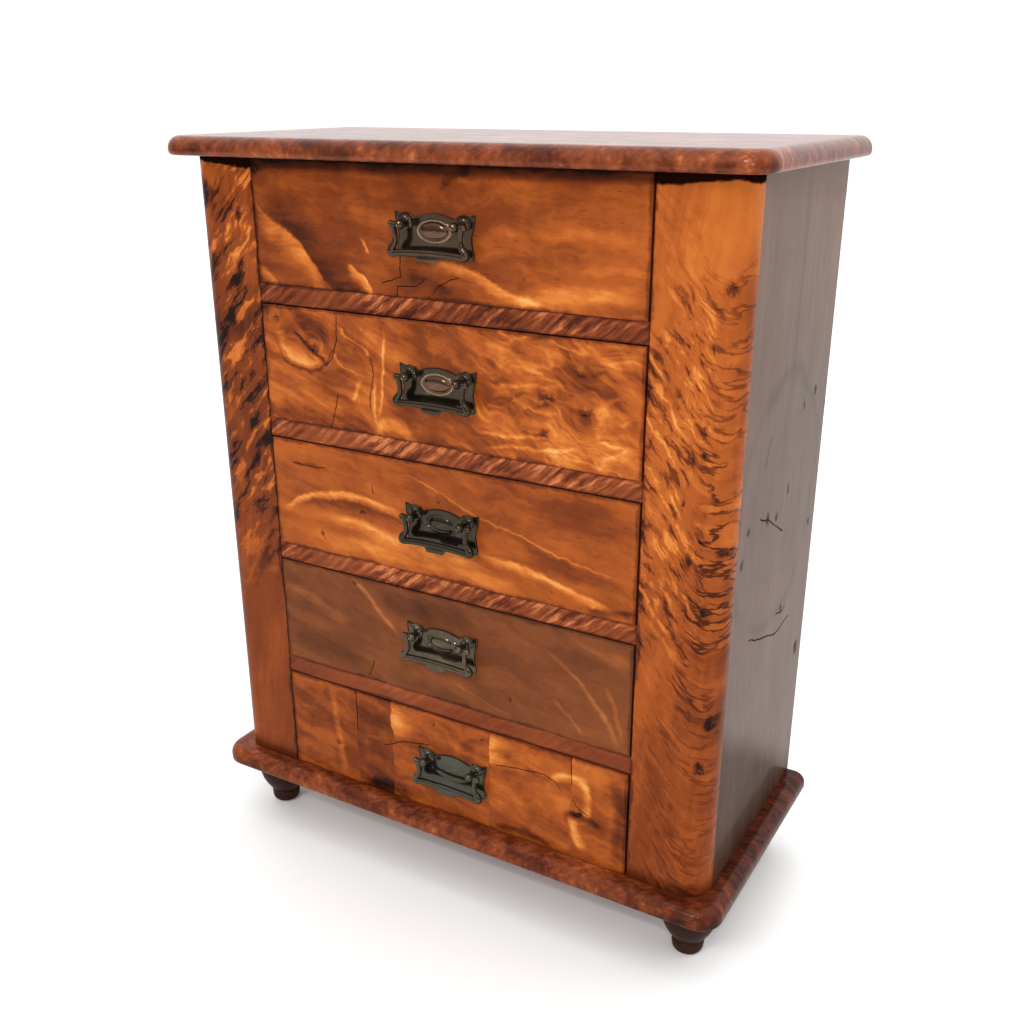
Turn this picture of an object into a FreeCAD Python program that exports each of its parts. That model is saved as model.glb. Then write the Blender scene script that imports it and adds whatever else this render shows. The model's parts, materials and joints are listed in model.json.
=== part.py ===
"""Miniature chest of five long drawers on turned feet, with a swing bail pull on each drawer.

Millimetres, +Z up, +X to the right of someone facing the chest, drawers open towards -Y.
The origin is on the floor, in the middle of the whole chest seen from above.
"""
import FreeCAD, Part
import os

import Sketcher

DRAWERS = (1, 2, 3, 4, 5)                 # 1 is the top drawer
RAILS = (1, 2, 3, 4)                      # rail N lies under drawer N
SIDES = {"left": -1, "right": 1}

DRIVING_SIZES = {
    # carcass
    "carcass_width": 400.0,
    "carcass_depth": 187.0,
    "carcass_height": 464.0,
    "corner_round": 16.5,
    "side_thickness": 13.0,
    "stile_width": 54.4,
    "stile_thickness": 20.0,
    "rail_thickness": 13.0,
    "rail_depth": 45.0,
    "rail_setback": 0.5,
    "tenon_length": 8.0,
    "tenon_depth": 10.0,
    "tenon_shoulder": 2.0,
    "back_thickness": 6.0,
    "rabbet_width": 7.0,
    "nail_radius": 0.9,
    "nail_length": 18.0,
    "nail_end_distance": 30.0,
    # moulded top and base boards
    "top_thickness": 12.6,
    "top_side_overhang": 13.5,
    "top_front_overhang": 14.5,
    "top_upper_round": 8.5,
    "top_lower_round": 3.0,
    "top_corner_round": 15.0,
    "base_thickness": 13.6,
    "base_side_overhang": 14.5,
    "base_front_overhang": 13.6,
    "base_upper_round": 8.5,
    "base_lower_round": 2.0,
    "base_corner_round": 17.0,
    # turned feet
    "foot_height": 48.0,
    "foot_side_inset": 16.0,
    "foot_end_inset": 25.0,
    "pad_radius": 11.2,
    "pad_height": 6.4,
    "pad_round": 3.2,
    "bun_radius": 19.5,
    "bun_foot_radius": 11.0,
    "collar_radius": 14.5,
    "collar_height": 6.0,
    "spigot_radius": 6.0,
    "spigot_length": 9.0,
    # drawer running gear
    "runner_overlap": 12.0,
    "guide_width": 9.0,
    "guide_height": 12.0,
    "stop_length": 18.0,
    "stop_width": 10.0,
    "stop_height": 4.0,
    "stop_clearance": 0.3,
    "stop_spacing": 180.0,
    # drawers
    "left_gap": 0.9,
    "right_gap": 1.6,
    "upper_gap": 1.0,
    "lower_gap": 0.4,
    "drawer_length": 170.0,
    "front_thickness": 13.0,
    "wall_thickness": 7.0,
    "wall_drop": 4.0,
    "back_drop": 3.0,
    "bottom_thickness": 4.0,
    "bottom_height": 6.0,
    "groove_depth": 2.5,
    "tail_length": 9.0,
    "tail_root": 14.0,
    "tail_tip": 19.0,
    # handles
    "plate_width": 59.0,
    "plate_thickness": 1.2,
    "plate_rise": 8.0,
    "plate_drop": 16.0,
    "lug_width": 14.0,
    "lug_rise": 3.0,
    "arch_rise": 3.3,
    "arch_width": 30.0,
    "boss_width": 24.4,
    "boss_height": 13.4,
    "boss_rise": 2.2,
    "boss_lift": 0.6,
    "post_spacing": 39.2,
    "pivot_rise": 4.8,
    "pivot_reach": 9.0,
    "ball_radius": 3.0,
    "neck_radius": 2.0,
    "flange_radius": 4.2,
    "flange_height": 1.6,
    "shank_radius": 1.5,
    "shank_clearance": 0.1,
    "nut_width": 7.0,
    "nut_thickness": 2.4,
    "shank_stickout": 1.6,
    "pin_radius": 1.2,
    "pin_clearance": 0.05,
    "pin_length": 4.0,
    "pin_end_gap": 0.4,
    "pin_head_spacing": 56.0,
    "pin_head_radius": 1.9,
    "eye_spacing": 49.4,
    "arm_radius": 1.8,
    "arm_length": 13.0,
    "bar_drop": 16.8,
    "bar_radius": 2.6,
    "knuckle_spacing": 54.6,
    "knuckle_radius": 3.0,
    "grip_width": 16.0,
    "grip_drop": 5.0,
    "grip_thickness": 2.6,
    # where each handle sits off the middle of its drawer
    "handle_shift_1": 0.5,
    "handle_shift_2": 0.0,
    "handle_shift_3": 0.5,
    "handle_shift_4": -1.8,
    "handle_shift_5": 4.6,
    "handle_lift_1": 0.5,
    "handle_lift_2": 0.2,
    "handle_lift_3": -1.0,
    "handle_lift_4": 4.5,
    "handle_lift_5": -1.2,
}

doc = FreeCAD.newDocument("chest_of_drawers")
sheet = doc.addObject("Spreadsheet::Sheet", "Sizes")
for row, (alias, value) in enumerate(DRIVING_SIZES.items(), start=1):
    sheet.set(f"A{row}", alias)
    sheet.set(f"B{row}", str(value))
    sheet.setAlias(f"B{row}", alias)
doc.recompute()


def size(alias):
    """The expression that reads one driving size."""
    return f"Sizes.{alias}"


def number(expression):
    """The value of an expression in millimetres."""
    result = sheet.evalExpression(str(expression))
    return float(getattr(result, "Value", result))


# Planes that many pieces share, as expressions of the driving sizes.
HALF_WIDTH = "Sizes.carcass_width / 2"
HALF_OPENING = f"({HALF_WIDTH} - Sizes.stile_width)"
FRONT = "((Sizes.top_front_overhang - Sizes.carcass_depth) / 2)"
BACK = f"({FRONT} + Sizes.carcass_depth)"
PANEL_FRONT = f"({BACK} - Sizes.back_thickness)"
RAIL_BACK = f"({FRONT} + Sizes.rail_depth)"
BASE_UNDERSIDE = size("foot_height")
CARCASS_FLOOR = "(Sizes.foot_height + Sizes.base_thickness)"
CARCASS_TOP = f"({CARCASS_FLOOR} + Sizes.carcass_height)"
BAY_HEIGHT = f"((Sizes.carcass_height - {len(RAILS)} * Sizes.rail_thickness) / {len(DRAWERS)})"
SIDE_INNER = f"({HALF_WIDTH} - Sizes.side_thickness)"


def bay_floor(drawer):
    """Height of the surface that a drawer runs on."""
    steps = len(DRAWERS) - drawer
    return f"({CARCASS_FLOOR} + {steps} * ({BAY_HEIGHT} + Sizes.rail_thickness))"


def bind(obj, **expressions):
    """Bind properties to expressions; a double underscore stands for a dot."""
    for name, expression in expressions.items():
        obj.setExpression(name.replace("__", "."), str(expression))
    return obj


def place(obj, along_x="0", along_y="0", along_z="0"):
    """Bind an object's place."""
    return bind(obj, Placement__Base__x=along_x, Placement__Base__y=along_y, Placement__Base__z=along_z)


def turn(obj, axis, degrees):
    """Turn an object about its own origin."""
    obj.Placement = FreeCAD.Placement(obj.Placement.Base, FreeCAD.Rotation(axis, degrees))
    return obj


X_AXIS = FreeCAD.Vector(1, 0, 0)
Y_AXIS = FreeCAD.Vector(0, 1, 0)
Z_AXIS = FreeCAD.Vector(0, 0, 1)


def box(name, span_x, span_y, span_z):
    """A block between two planes along each axis."""
    block = doc.addObject("Part::Box", name)
    (x_low, x_high), (y_low, y_high), (z_low, z_high) = span_x, span_y, span_z
    bind(block, Length=f"({x_high}) - ({x_low})", Width=f"({y_high}) - ({y_low})",
         Height=f"({z_high}) - ({z_low})")
    return place(block, x_low, y_low, z_low)


def cylinder(name, radius, length, centre, axis=Z_AXIS):
    """A cylinder that starts at centre and runs along axis."""
    rod = doc.addObject("Part::Cylinder", name)
    rod.Placement = FreeCAD.Placement(FreeCAD.Vector(), FreeCAD.Rotation(Z_AXIS, axis))
    bind(rod, Radius=radius, Height=length)
    return place(rod, *centre)


def sphere(name, radius, centre):
    ball = doc.addObject("Part::Sphere", name)
    bind(ball, Radius=radius)
    return place(ball, *centre)


def fuse(name, pieces):
    joined = doc.addObject("Part::MultiFuse", name)
    joined.Shapes = pieces
    joined.Refine = True
    return joined


def group(name, pieces):
    """Separate solids that share one node."""
    gathered = doc.addObject("Part::Compound", name)
    gathered.Links = pieces
    return gathered


def cut(name, base, tool):
    remainder = doc.addObject("Part::Cut", name)
    remainder.Base = base
    remainder.Tool = tool
    return remainder


def mirrored_span(side, inner, outer):
    """The X span of a piece between two distances from the middle, on one side."""
    return (f"-({outer})", f"-({inner})") if side < 0 else (inner, outer)


sub_parts = []


def keep(node, obj):
    """Name a finished sub-part after its node."""
    obj.Label = node
    sub_parts.append(obj)
    return obj


# ---------------------------------------------------------------- sketched pieces


def sketch_on(body, name, role):
    """A sketch on one of the body's own origin planes."""
    sketch = body.newObject("Sketcher::SketchObject", name)
    plane = next(feature for feature in body.Origin.OriginFeatures if feature.Role == role)
    sketch.AttachmentSupport = [(plane, "")]
    sketch.MapMode = "FlatFace"
    return sketch


def draw_outline(sketch, points, arc_radii=None):
    """A closed outline through points in the positive quadrant, each a pair of expressions.

    arc_radii gives, for a side's index, the radius expression of the arc that replaces the line.
    """
    arc_radii = arc_radii or {}
    corners = [FreeCAD.Vector(number(across), number(up), 0) for across, up in points]
    for index, start in enumerate(corners):
        end = corners[(index + 1) % len(corners)]
        if index in arc_radii:
            sketch.addGeometry(bulging_arc(start, end, number(arc_radii[index])), False)
        else:
            sketch.addGeometry(Part.LineSegment(start, end), False)
    for index, (across, up) in enumerate(points):
        following = (index + 1) % len(points)
        sketch.addConstraint(Sketcher.Constraint("Coincident", index, 2, following, 1))
        for kind, expression in (("DistanceX", across), ("DistanceY", up)):
            constraint = Sketcher.Constraint(kind, -1, 1, index, 1, number(expression))
            at = sketch.addConstraint(constraint)
            sketch.setExpression(f"Constraints[{at}]", str(expression))
    for index, radius in arc_radii.items():
        at = sketch.addConstraint(Sketcher.Constraint("Radius", index, number(radius)))
        sketch.setExpression(f"Constraints[{at}]", str(radius))


def bulging_arc(start, end, radius):
    """The shorter arc of a radius from start to end that turns anticlockwise."""
    chord = end - start
    across = FreeCAD.Vector(-chord.y, chord.x, 0).normalize()
    centre = (start + end) * 0.5 + across * (radius ** 2 - (chord.Length / 2) ** 2) ** 0.5
    circle = Part.Circle(centre, Z_AXIS, radius)
    return Part.ArcOfCircle(circle, circle.parameter(start), circle.parameter(end))


def moulded_board(board, underside):
    """A board with rounded front corners and a moulded edge on its front and ends."""
    node = f"{board}_board"
    thickness = size(f"{board}_thickness")
    side_overhang = size(f"{board}_side_overhang")
    front_overhang = size(f"{board}_front_overhang")
    width = f"(Sizes.carcass_width + 2 * {side_overhang})"
    depth = f"(Sizes.carcass_depth + {front_overhang})"
    body = doc.addObject("PartDesign::Body", f"{node}_body")
    sketch = sketch_on(body, f"{node}_outline", "XY_Plane")
    draw_outline(sketch, [("0", "0"), (width, "0"), (width, depth), ("0", depth)])
    pad = body.newObject("PartDesign::Pad", f"{node}_pad")
    pad.Profile = sketch
    bind(pad, Length=thickness)

    level = number(thickness)
    back = number(depth)
    corners = round_edges(body, f"{node}_corners", pad, size(f"{board}_corner_round"),
                          lambda low, high: high.y < 1 and high.z - low.z > 1)
    upper = round_edges(body, f"{node}_upper_edge", corners, size(f"{board}_upper_round"),
                        lambda low, high: low.z > level - 0.01 and low.y < back - 1)
    round_edges(body, f"{node}_lower_edge", upper, size(f"{board}_lower_round"),
                lambda low, high: high.z < 0.01 and low.y < back - 1)
    return place(body, f"-{width} / 2", f"{FRONT} - {front_overhang}", underside)


def round_edges(body, name, feature, radius, wanted):
    """Fillet the edges of a feature whose lowest and highest corners pass a test."""
    doc.recompute()
    rounding = body.newObject("PartDesign::Fillet", name)
    rounding.Base = (feature, edges_of(feature, wanted))
    return bind(rounding, Radius=radius)


def edges_of(feature, wanted):
    """Names of the edges whose box passes a test of its lowest and highest corner."""
    names = []
    for index, edge in enumerate(feature.Shape.Edges, start=1):
        bounds = edge.BoundBox
        low = FreeCAD.Vector(bounds.XMin, bounds.YMin, bounds.ZMin)
        high = FreeCAD.Vector(bounds.XMax, bounds.YMax, bounds.ZMax)
        if wanted(low, high):
            names.append(f"Edge{index}")
    return names


# ---------------------------------------------------------------- carcass


def foot_places():
    """Name and centre of each foot."""
    for end, along_y in (("front", f"{FRONT} + Sizes.foot_end_inset"),
                         ("back", f"{BACK} - Sizes.foot_end_inset")):
        for side, sign in SIDES.items():
            yield f"foot_{end}_{side}", f"{sign} * ({HALF_WIDTH} - Sizes.foot_side_inset)", along_y


def make_boards():
    """The top board, and the base board with a socket for each foot's spigot."""
    keep("top_board", moulded_board("top", CARCASS_TOP))
    base = moulded_board("base", BASE_UNDERSIDE)
    sockets = [cylinder(node + "_socket", size("spigot_radius"), size("spigot_length"),
                        (along_x, along_y, BASE_UNDERSIDE))
               for node, along_x, along_y in foot_places()]
    keep("base_board", cut("base_board_bored", base, group("foot_sockets", sockets)))


def make_foot(node, along_x, along_y):
    """A turned foot: pad, ring, bun, collar and the spigot that enters the base board."""
    body = doc.addObject("PartDesign::Body", node + "_body")
    sketch = sketch_on(body, node + "_profile", "XZ_Plane")
    ring_height = size("pad_height")
    collar_floor = "(Sizes.foot_height - Sizes.collar_height)"
    spigot_top = "(Sizes.foot_height + Sizes.spigot_length)"
    pad_flat = "(Sizes.pad_radius - Sizes.pad_round)"
    points = [("0", "0"), (pad_flat, "0"), (size("pad_radius"), size("pad_round")),
              (size("pad_radius"), ring_height), (size("bun_foot_radius"), f"({ring_height} + 1)"),
              (size("collar_radius"), collar_floor), (size("collar_radius"), size("foot_height")),
              (size("spigot_radius"), size("foot_height")), (size("spigot_radius"), spigot_top),
              ("0", spigot_top)]
    draw_outline(sketch, points, {1: size("pad_round"), 4: size("bun_radius")})
    turning = body.newObject("PartDesign::Revolution", node + "_turning")
    turning.Profile = sketch
    turning.ReferenceAxis = (sketch, ["V_Axis"])
    turning.Angle = 360
    keep(node, place(body, along_x, along_y, "0"))


def make_stile(side, sign):
    """A corner board with a rounded outer edge, mortised for the rails."""
    body = doc.addObject("PartDesign::Body", f"stile_{side}_body")
    sketch = sketch_on(body, f"stile_{side}_section", "XY_Plane")
    draw_outline(sketch, [("0", "0"), (size("stile_width"), "0"),
                          (size("stile_width"), size("stile_thickness")),
                          ("0", size("stile_thickness"))])
    pad = body.newObject("PartDesign::Pad", f"stile_{side}_pad")
    pad.Profile = sketch
    bind(pad, Length=size("carcass_height"))

    outer = 0.0 if sign < 0 else number(size("stile_width"))
    round_edges(body, f"stile_{side}_round", pad, size("corner_round"),
                lambda low, high: high.y < 1 and abs(low.x - outer) < 1 and abs(high.x - outer) < 1)
    inner_face = HALF_OPENING if sign > 0 else f"-{HALF_WIDTH}"
    place(body, inner_face, FRONT, CARCASS_FLOOR)
    mortises = [tenon(f"mortise_{rail}_{side}", rail, sign) for rail in RAILS]
    keep(f"stile_{side}", cut(f"stile_{side}_mortised", body, group(f"mortises_{side}", mortises)))


def rail_span_z(rail):
    """Lowest and highest plane of a rail."""
    top = bay_floor(rail)
    return f"({top} - Sizes.rail_thickness)", top


def tenon(name, rail, sign):
    """The block where a rail enters a stile."""
    low, high = rail_span_z(rail)
    middle = f"({FRONT} + Sizes.stile_thickness / 2)"
    return box(name,
               mirrored_span(sign, HALF_OPENING, f"{HALF_OPENING} + Sizes.tenon_length"),
               (f"{middle} - Sizes.tenon_depth / 2", f"{middle} + Sizes.tenon_depth / 2"),
               (f"{low} + Sizes.tenon_shoulder", f"{high} - Sizes.tenon_shoulder"))


def make_rail(rail):
    """A rail between two drawers, tenoned into both stiles."""
    blank = box(f"rail_{rail}_blank", (f"-{HALF_OPENING}", HALF_OPENING),
                (f"{FRONT} + Sizes.rail_setback", RAIL_BACK), rail_span_z(rail))
    tenons = [tenon(f"tenon_{rail}_{side}", rail, sign) for side, sign in SIDES.items()]
    keep(f"rail_{rail}", fuse(f"rail_{rail}_joined", [blank] + tenons))


def back_nails(prefix):
    """Nails through the back panel's edges into the sides."""
    nails = []
    spacing = "(Sizes.carcass_height - 2 * Sizes.nail_end_distance) / 3"
    for side, sign in SIDES.items():
        for step in range(4):
            centre = (f"{sign} * ({SIDE_INNER} + Sizes.rabbet_width / 2)", BACK,
                      f"{CARCASS_FLOOR} + Sizes.nail_end_distance + {step} * {spacing}")
            nails.append(cylinder(f"{prefix}_{side}_{step}", size("nail_radius"),
                                  size("nail_length"), centre, -Y_AXIS))
    return group(prefix, nails)


def make_sides_and_back():
    """Side boards rabbeted for the back panel, the panel, and its nails."""
    for side, sign in SIDES.items():
        board = box(f"side_{side}_blank", mirrored_span(sign, SIDE_INNER, HALF_WIDTH),
                    (f"{FRONT} + Sizes.stile_thickness", BACK), (CARCASS_FLOOR, CARCASS_TOP))
        rabbet = box(f"side_{side}_rabbet",
                     mirrored_span(sign, SIDE_INNER, f"{SIDE_INNER} + Sizes.rabbet_width"),
                     (PANEL_FRONT, BACK), (CARCASS_FLOOR, CARCASS_TOP))
        rabbeted = cut(f"side_{side}_rabbeted", board, rabbet)
        keep(f"side_{side}", cut(f"side_{side}_nailed", rabbeted, back_nails(f"side_{side}_holes")))
    reach = f"({SIDE_INNER} + Sizes.rabbet_width)"
    panel = box("back_panel_blank", (f"-{reach}", reach), (PANEL_FRONT, BACK),
                (CARCASS_FLOOR, CARCASS_TOP))
    keep("back_panel", cut("back_panel_nailed", panel, back_nails("back_panel_holes")))
    keep("back_panel_nails", back_nails("nails"))


def make_running_gear():
    """Runners behind the rails, guides beside the drawers, and a pair of stops for each drawer."""
    runners = []
    guides = []
    stops = []
    stop_front = f"({FRONT} + Sizes.front_thickness + Sizes.stop_clearance)"
    for drawer in DRAWERS:
        floor = bay_floor(drawer)
        for side, sign in SIDES.items():
            if drawer in RAILS:
                span_x = mirrored_span(sign, f"{HALF_OPENING} - Sizes.runner_overlap", SIDE_INNER)
                runners.append(box(f"runner_{drawer}_{side}", span_x, (RAIL_BACK, PANEL_FRONT),
                                   rail_span_z(drawer)))
            span_x = mirrored_span(sign, HALF_OPENING, f"{HALF_OPENING} + Sizes.guide_width")
            guides.append(box(f"guide_{drawer}_{side}", span_x, (RAIL_BACK, PANEL_FRONT),
                              (floor, f"{floor} + Sizes.guide_height")))
            middle = f"{sign} * Sizes.stop_spacing / 2"
            stops.append(box(f"stop_{drawer}_{side}",
                             (f"{middle} - Sizes.stop_length / 2", f"{middle} + Sizes.stop_length / 2"),
                             (stop_front, f"{stop_front} + Sizes.stop_width"),
                             (floor, f"{floor} + Sizes.stop_height")))
    keep("drawer_runners", group("runners", runners))
    keep("drawer_guides", group("guides", guides))
    keep("drawer_stops", group("stops", stops))


# ---------------------------------------------------------------- drawers

DRAWER_LEFT = f"(Sizes.left_gap - {HALF_OPENING})"
DRAWER_RIGHT = f"({HALF_OPENING} - Sizes.right_gap)"
WALL_INNER = {"left": f"({DRAWER_LEFT} + Sizes.wall_thickness)",
              "right": f"({DRAWER_RIGHT} - Sizes.wall_thickness)"}
FRONT_INNER = f"({FRONT} + Sizes.front_thickness)"
DRAWER_END = f"({FRONT} + Sizes.drawer_length)"
TAIL_COUNT = 3


def drawer_levels(drawer):
    """Heights of a drawer's lower edge, front top, wall top and bottom board."""
    floor = bay_floor(drawer)
    low = f"({floor} + Sizes.lower_gap)"
    front_top = f"({floor} + {BAY_HEIGHT} - Sizes.upper_gap)"
    wall_top = f"({front_top} - Sizes.wall_drop)"
    panel = f"({low} + Sizes.bottom_height)"
    return low, front_top, wall_top, panel


def tails(prefix, drawer, side):
    """The dovetail tails by which a drawer wall enters the drawer front."""
    low, _, wall_top, _ = drawer_levels(drawer)
    start = DRAWER_LEFT if side == "left" else WALL_INNER["right"]
    pieces = []
    for index in range(TAIL_COUNT):
        tail = doc.addObject("Part::Wedge", f"{prefix}_{drawer}_{side}_{index}")
        bind(tail, Xmin="0", Xmax=size("wall_thickness"), X2min="0", X2max=size("wall_thickness"),
             Ymin="0", Ymax=size("tail_length"),
             Zmin="-Sizes.tail_tip / 2", Zmax="Sizes.tail_tip / 2",
             Z2min="-Sizes.tail_root / 2", Z2max="Sizes.tail_root / 2")
        share = (index + 0.5) / TAIL_COUNT
        place(tail, start, f"{FRONT_INNER} - Sizes.tail_length",
              f"{low} + {share} * ({wall_top} - {low})")
        pieces.append(tail)
    return pieces


def bottom_panel(name, drawer):
    """The drawer's bottom board, held in grooves and running out under the drawer's back."""
    panel = drawer_levels(drawer)[3]
    return box(name, (f"{WALL_INNER['left']} - Sizes.groove_depth",
                      f"{WALL_INNER['right']} + Sizes.groove_depth"),
               (f"{FRONT_INNER} - Sizes.groove_depth", DRAWER_END),
               (panel, f"{panel} + Sizes.bottom_thickness"))


def make_drawer_box(drawer):
    """Front, two walls, back and bottom of one drawer."""
    low, front_top, wall_top, panel = drawer_levels(drawer)
    blank = box(f"front_{drawer}_blank", (DRAWER_LEFT, DRAWER_RIGHT), (FRONT, FRONT_INNER),
                (low, front_top))
    sockets = tails("socket", drawer, "left") + tails("socket", drawer, "right")
    removed = sockets + [bottom_panel(f"front_groove_{drawer}", drawer)] + post_holes(drawer)
    keep(f"drawer_{drawer}_front", cut(f"front_{drawer}_worked", blank,
                                       group(f"front_{drawer}_removed", removed)))
    for side in SIDES:
        span_x = ((DRAWER_LEFT, WALL_INNER["left"]) if side == "left"
                  else (WALL_INNER["right"], DRAWER_RIGHT))
        wall = box(f"wall_{drawer}_{side}_blank", span_x, (FRONT_INNER, DRAWER_END), (low, wall_top))
        tailed = fuse(f"wall_{drawer}_{side}_tailed", [wall] + tails("tail", drawer, side))
        keep(f"drawer_{drawer}_side_{side}",
             cut(f"wall_{drawer}_{side}_grooved", tailed, bottom_panel(f"groove_{drawer}_{side}", drawer)))
    keep(f"drawer_{drawer}_back",
         box(f"back_{drawer}", (WALL_INNER["left"], WALL_INNER["right"]),
             (f"{DRAWER_END} - Sizes.wall_thickness", DRAWER_END),
             (f"{panel} + Sizes.bottom_thickness", f"{wall_top} - Sizes.back_drop")))
    keep(f"drawer_{drawer}_bottom", bottom_panel(f"bottom_{drawer}", drawer))


# ---------------------------------------------------------------- handles


def handle_centre(drawer):
    """X and Z of the middle of a handle plate."""
    return (size(f"handle_shift_{drawer}"),
            f"({bay_floor(drawer)} + {BAY_HEIGHT} / 2 + Sizes.handle_lift_{drawer})")


def post_places(drawer):
    """Side, X and Z of each handle post."""
    middle, height = handle_centre(drawer)
    for side, sign in SIDES.items():
        yield side, f"({middle} + {sign} * Sizes.post_spacing / 2)", f"({height} + Sizes.pivot_rise)"


def post_holes(drawer):
    """Holes for the post shanks through the plate and the drawer front."""
    return [cylinder(f"post_hole_{drawer}_{side}", "Sizes.shank_radius + Sizes.shank_clearance",
                     "Sizes.plate_thickness + Sizes.front_thickness + 2",
                     (along_x, f"{FRONT} - Sizes.plate_thickness - 1", height), Y_AXIS)
            for side, along_x, height in post_places(drawer)]


def make_plate(drawer):
    """The stamped plate: square lugs at the upper corners, a low arch and an oval boss."""
    middle, height = handle_centre(drawer)
    face = f"({FRONT} - Sizes.plate_thickness)"
    span_y = (face, FRONT)
    half = "Sizes.plate_width / 2"
    upper = f"({height} + Sizes.plate_rise)"
    lower = f"({height} - Sizes.plate_drop)"
    pieces = [box(f"plate_{drawer}_field", (f"{middle} - {half}", f"{middle} + {half}"), span_y,
                  (lower, upper))]
    for side, sign in SIDES.items():
        outer = f"({middle} + {sign} * {half})"
        inner = f"({outer} - {sign} * Sizes.lug_width)"
        pieces.append(box(f"plate_{drawer}_lug_{side}", (outer, inner) if sign < 0 else (inner, outer),
                          span_y, (upper, f"{upper} + Sizes.lug_rise")))
    pieces.append(plate_arch(drawer, middle, upper, face))
    boss = doc.addObject("Part::Ellipsoid", f"plate_{drawer}_boss")
    bind(boss, Radius1=size("boss_rise"), Radius2="Sizes.boss_width / 2", Radius3="Sizes.boss_height / 2")
    boss.Angle1 = 0
    turn(boss, X_AXIS, 90)
    place(boss, middle, face, f"{height} + Sizes.boss_lift")
    pieces.append(boss)
    plate = fuse(f"plate_{drawer}_joined", pieces)
    holes = group(f"plate_{drawer}_holes", post_holes(drawer))
    keep(f"drawer_{drawer}_handle_plate", cut(f"plate_{drawer}_bored", plate, holes))


def plate_arch(drawer, middle, upper, face):
    """The low arch along the plate's upper edge, the cap of a round disc."""
    radius = "((Sizes.arch_width * Sizes.arch_width / 4 + Sizes.arch_rise * Sizes.arch_rise)" \
             " / (2 * Sizes.arch_rise))"
    disc = cylinder(f"plate_{drawer}_disc", radius, size("plate_thickness"),
                    (middle, face, f"{upper} + Sizes.arch_rise - {radius}"), Y_AXIS)
    window = box(f"plate_{drawer}_window",
                 (f"{middle} - Sizes.arch_width / 2", f"{middle} + Sizes.arch_width / 2"),
                 (face, FRONT), (upper, f"{upper} + Sizes.arch_rise"))
    cap = doc.addObject("Part::Common", f"plate_{drawer}_arch")
    cap.Base = disc
    cap.Tool = window
    return cap


def make_posts(drawer):
    """Two ball-headed posts whose shanks pass through the front, each held by a square nut."""
    pieces = []
    plate_face = f"({FRONT} - Sizes.plate_thickness)"
    pivot_y = f"({FRONT} - Sizes.pivot_reach)"
    nut_face = f"({FRONT_INNER} + Sizes.nut_thickness)"
    for side, along_x, height in post_places(drawer):
        tag = f"{drawer}_{side}"
        flange = doc.addObject("Part::Cone", f"post_flange_{tag}")
        bind(flange, Radius1=size("flange_radius"), Radius2=size("neck_radius"),
             Height=size("flange_height"))
        flange.Placement = FreeCAD.Placement(FreeCAD.Vector(), FreeCAD.Rotation(Z_AXIS, -Y_AXIS))
        place(flange, along_x, plate_face, height)
        neck = cylinder(f"post_neck_{tag}", size("neck_radius"),
                        "Sizes.pivot_reach - Sizes.plate_thickness", (along_x, pivot_y, height), Y_AXIS)
        ball = sphere(f"post_ball_{tag}", size("ball_radius"), (along_x, pivot_y, height))
        shank = cylinder(f"post_shank_{tag}", size("shank_radius"),
                         f"{nut_face} + Sizes.shank_stickout - {plate_face}",
                         (along_x, plate_face, height), Y_AXIS)
        post = fuse(f"post_{tag}", [flange, neck, ball, shank])
        bore = pin(f"pin_bore_{tag}", drawer, side, "Sizes.pin_radius + Sizes.pin_clearance",
                   size("eye_spacing"))
        pieces.append(cut(f"post_{tag}_bored", post, bore))
        half_nut = "Sizes.nut_width / 2"
        nut = box(f"nut_{tag}_blank", (f"{along_x} - {half_nut}", f"{along_x} + {half_nut}"),
                  (FRONT_INNER, nut_face), (f"{height} - {half_nut}", f"{height} + {half_nut}"))
        thread = cylinder(f"nut_{tag}_thread", size("shank_radius"), "Sizes.nut_thickness + 2",
                          (along_x, f"{FRONT_INNER} - 1", height), Y_AXIS)
        pieces.append(cut(f"nut_{tag}", nut, thread))
    keep(f"drawer_{drawer}_handle_posts", group(f"posts_{drawer}", pieces))


def pin(name, drawer, side, radius, outer_spacing, end_gap="0"):
    """A pivot pin, or its bore, that runs inwards into the outer side of a post's ball."""
    middle, height = handle_centre(drawer)
    sign = SIDES[side]
    inner = "(Sizes.post_spacing / 2 + Sizes.ball_radius - Sizes.pin_length)"
    return cylinder(name, radius, f"{outer_spacing} / 2 - {inner} - {end_gap}",
                    (f"{middle} + {sign} * {outer_spacing} / 2", f"{FRONT} - Sizes.pivot_reach",
                     f"{height} + Sizes.pivot_rise"),
                    X_AXIS * -sign)


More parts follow.
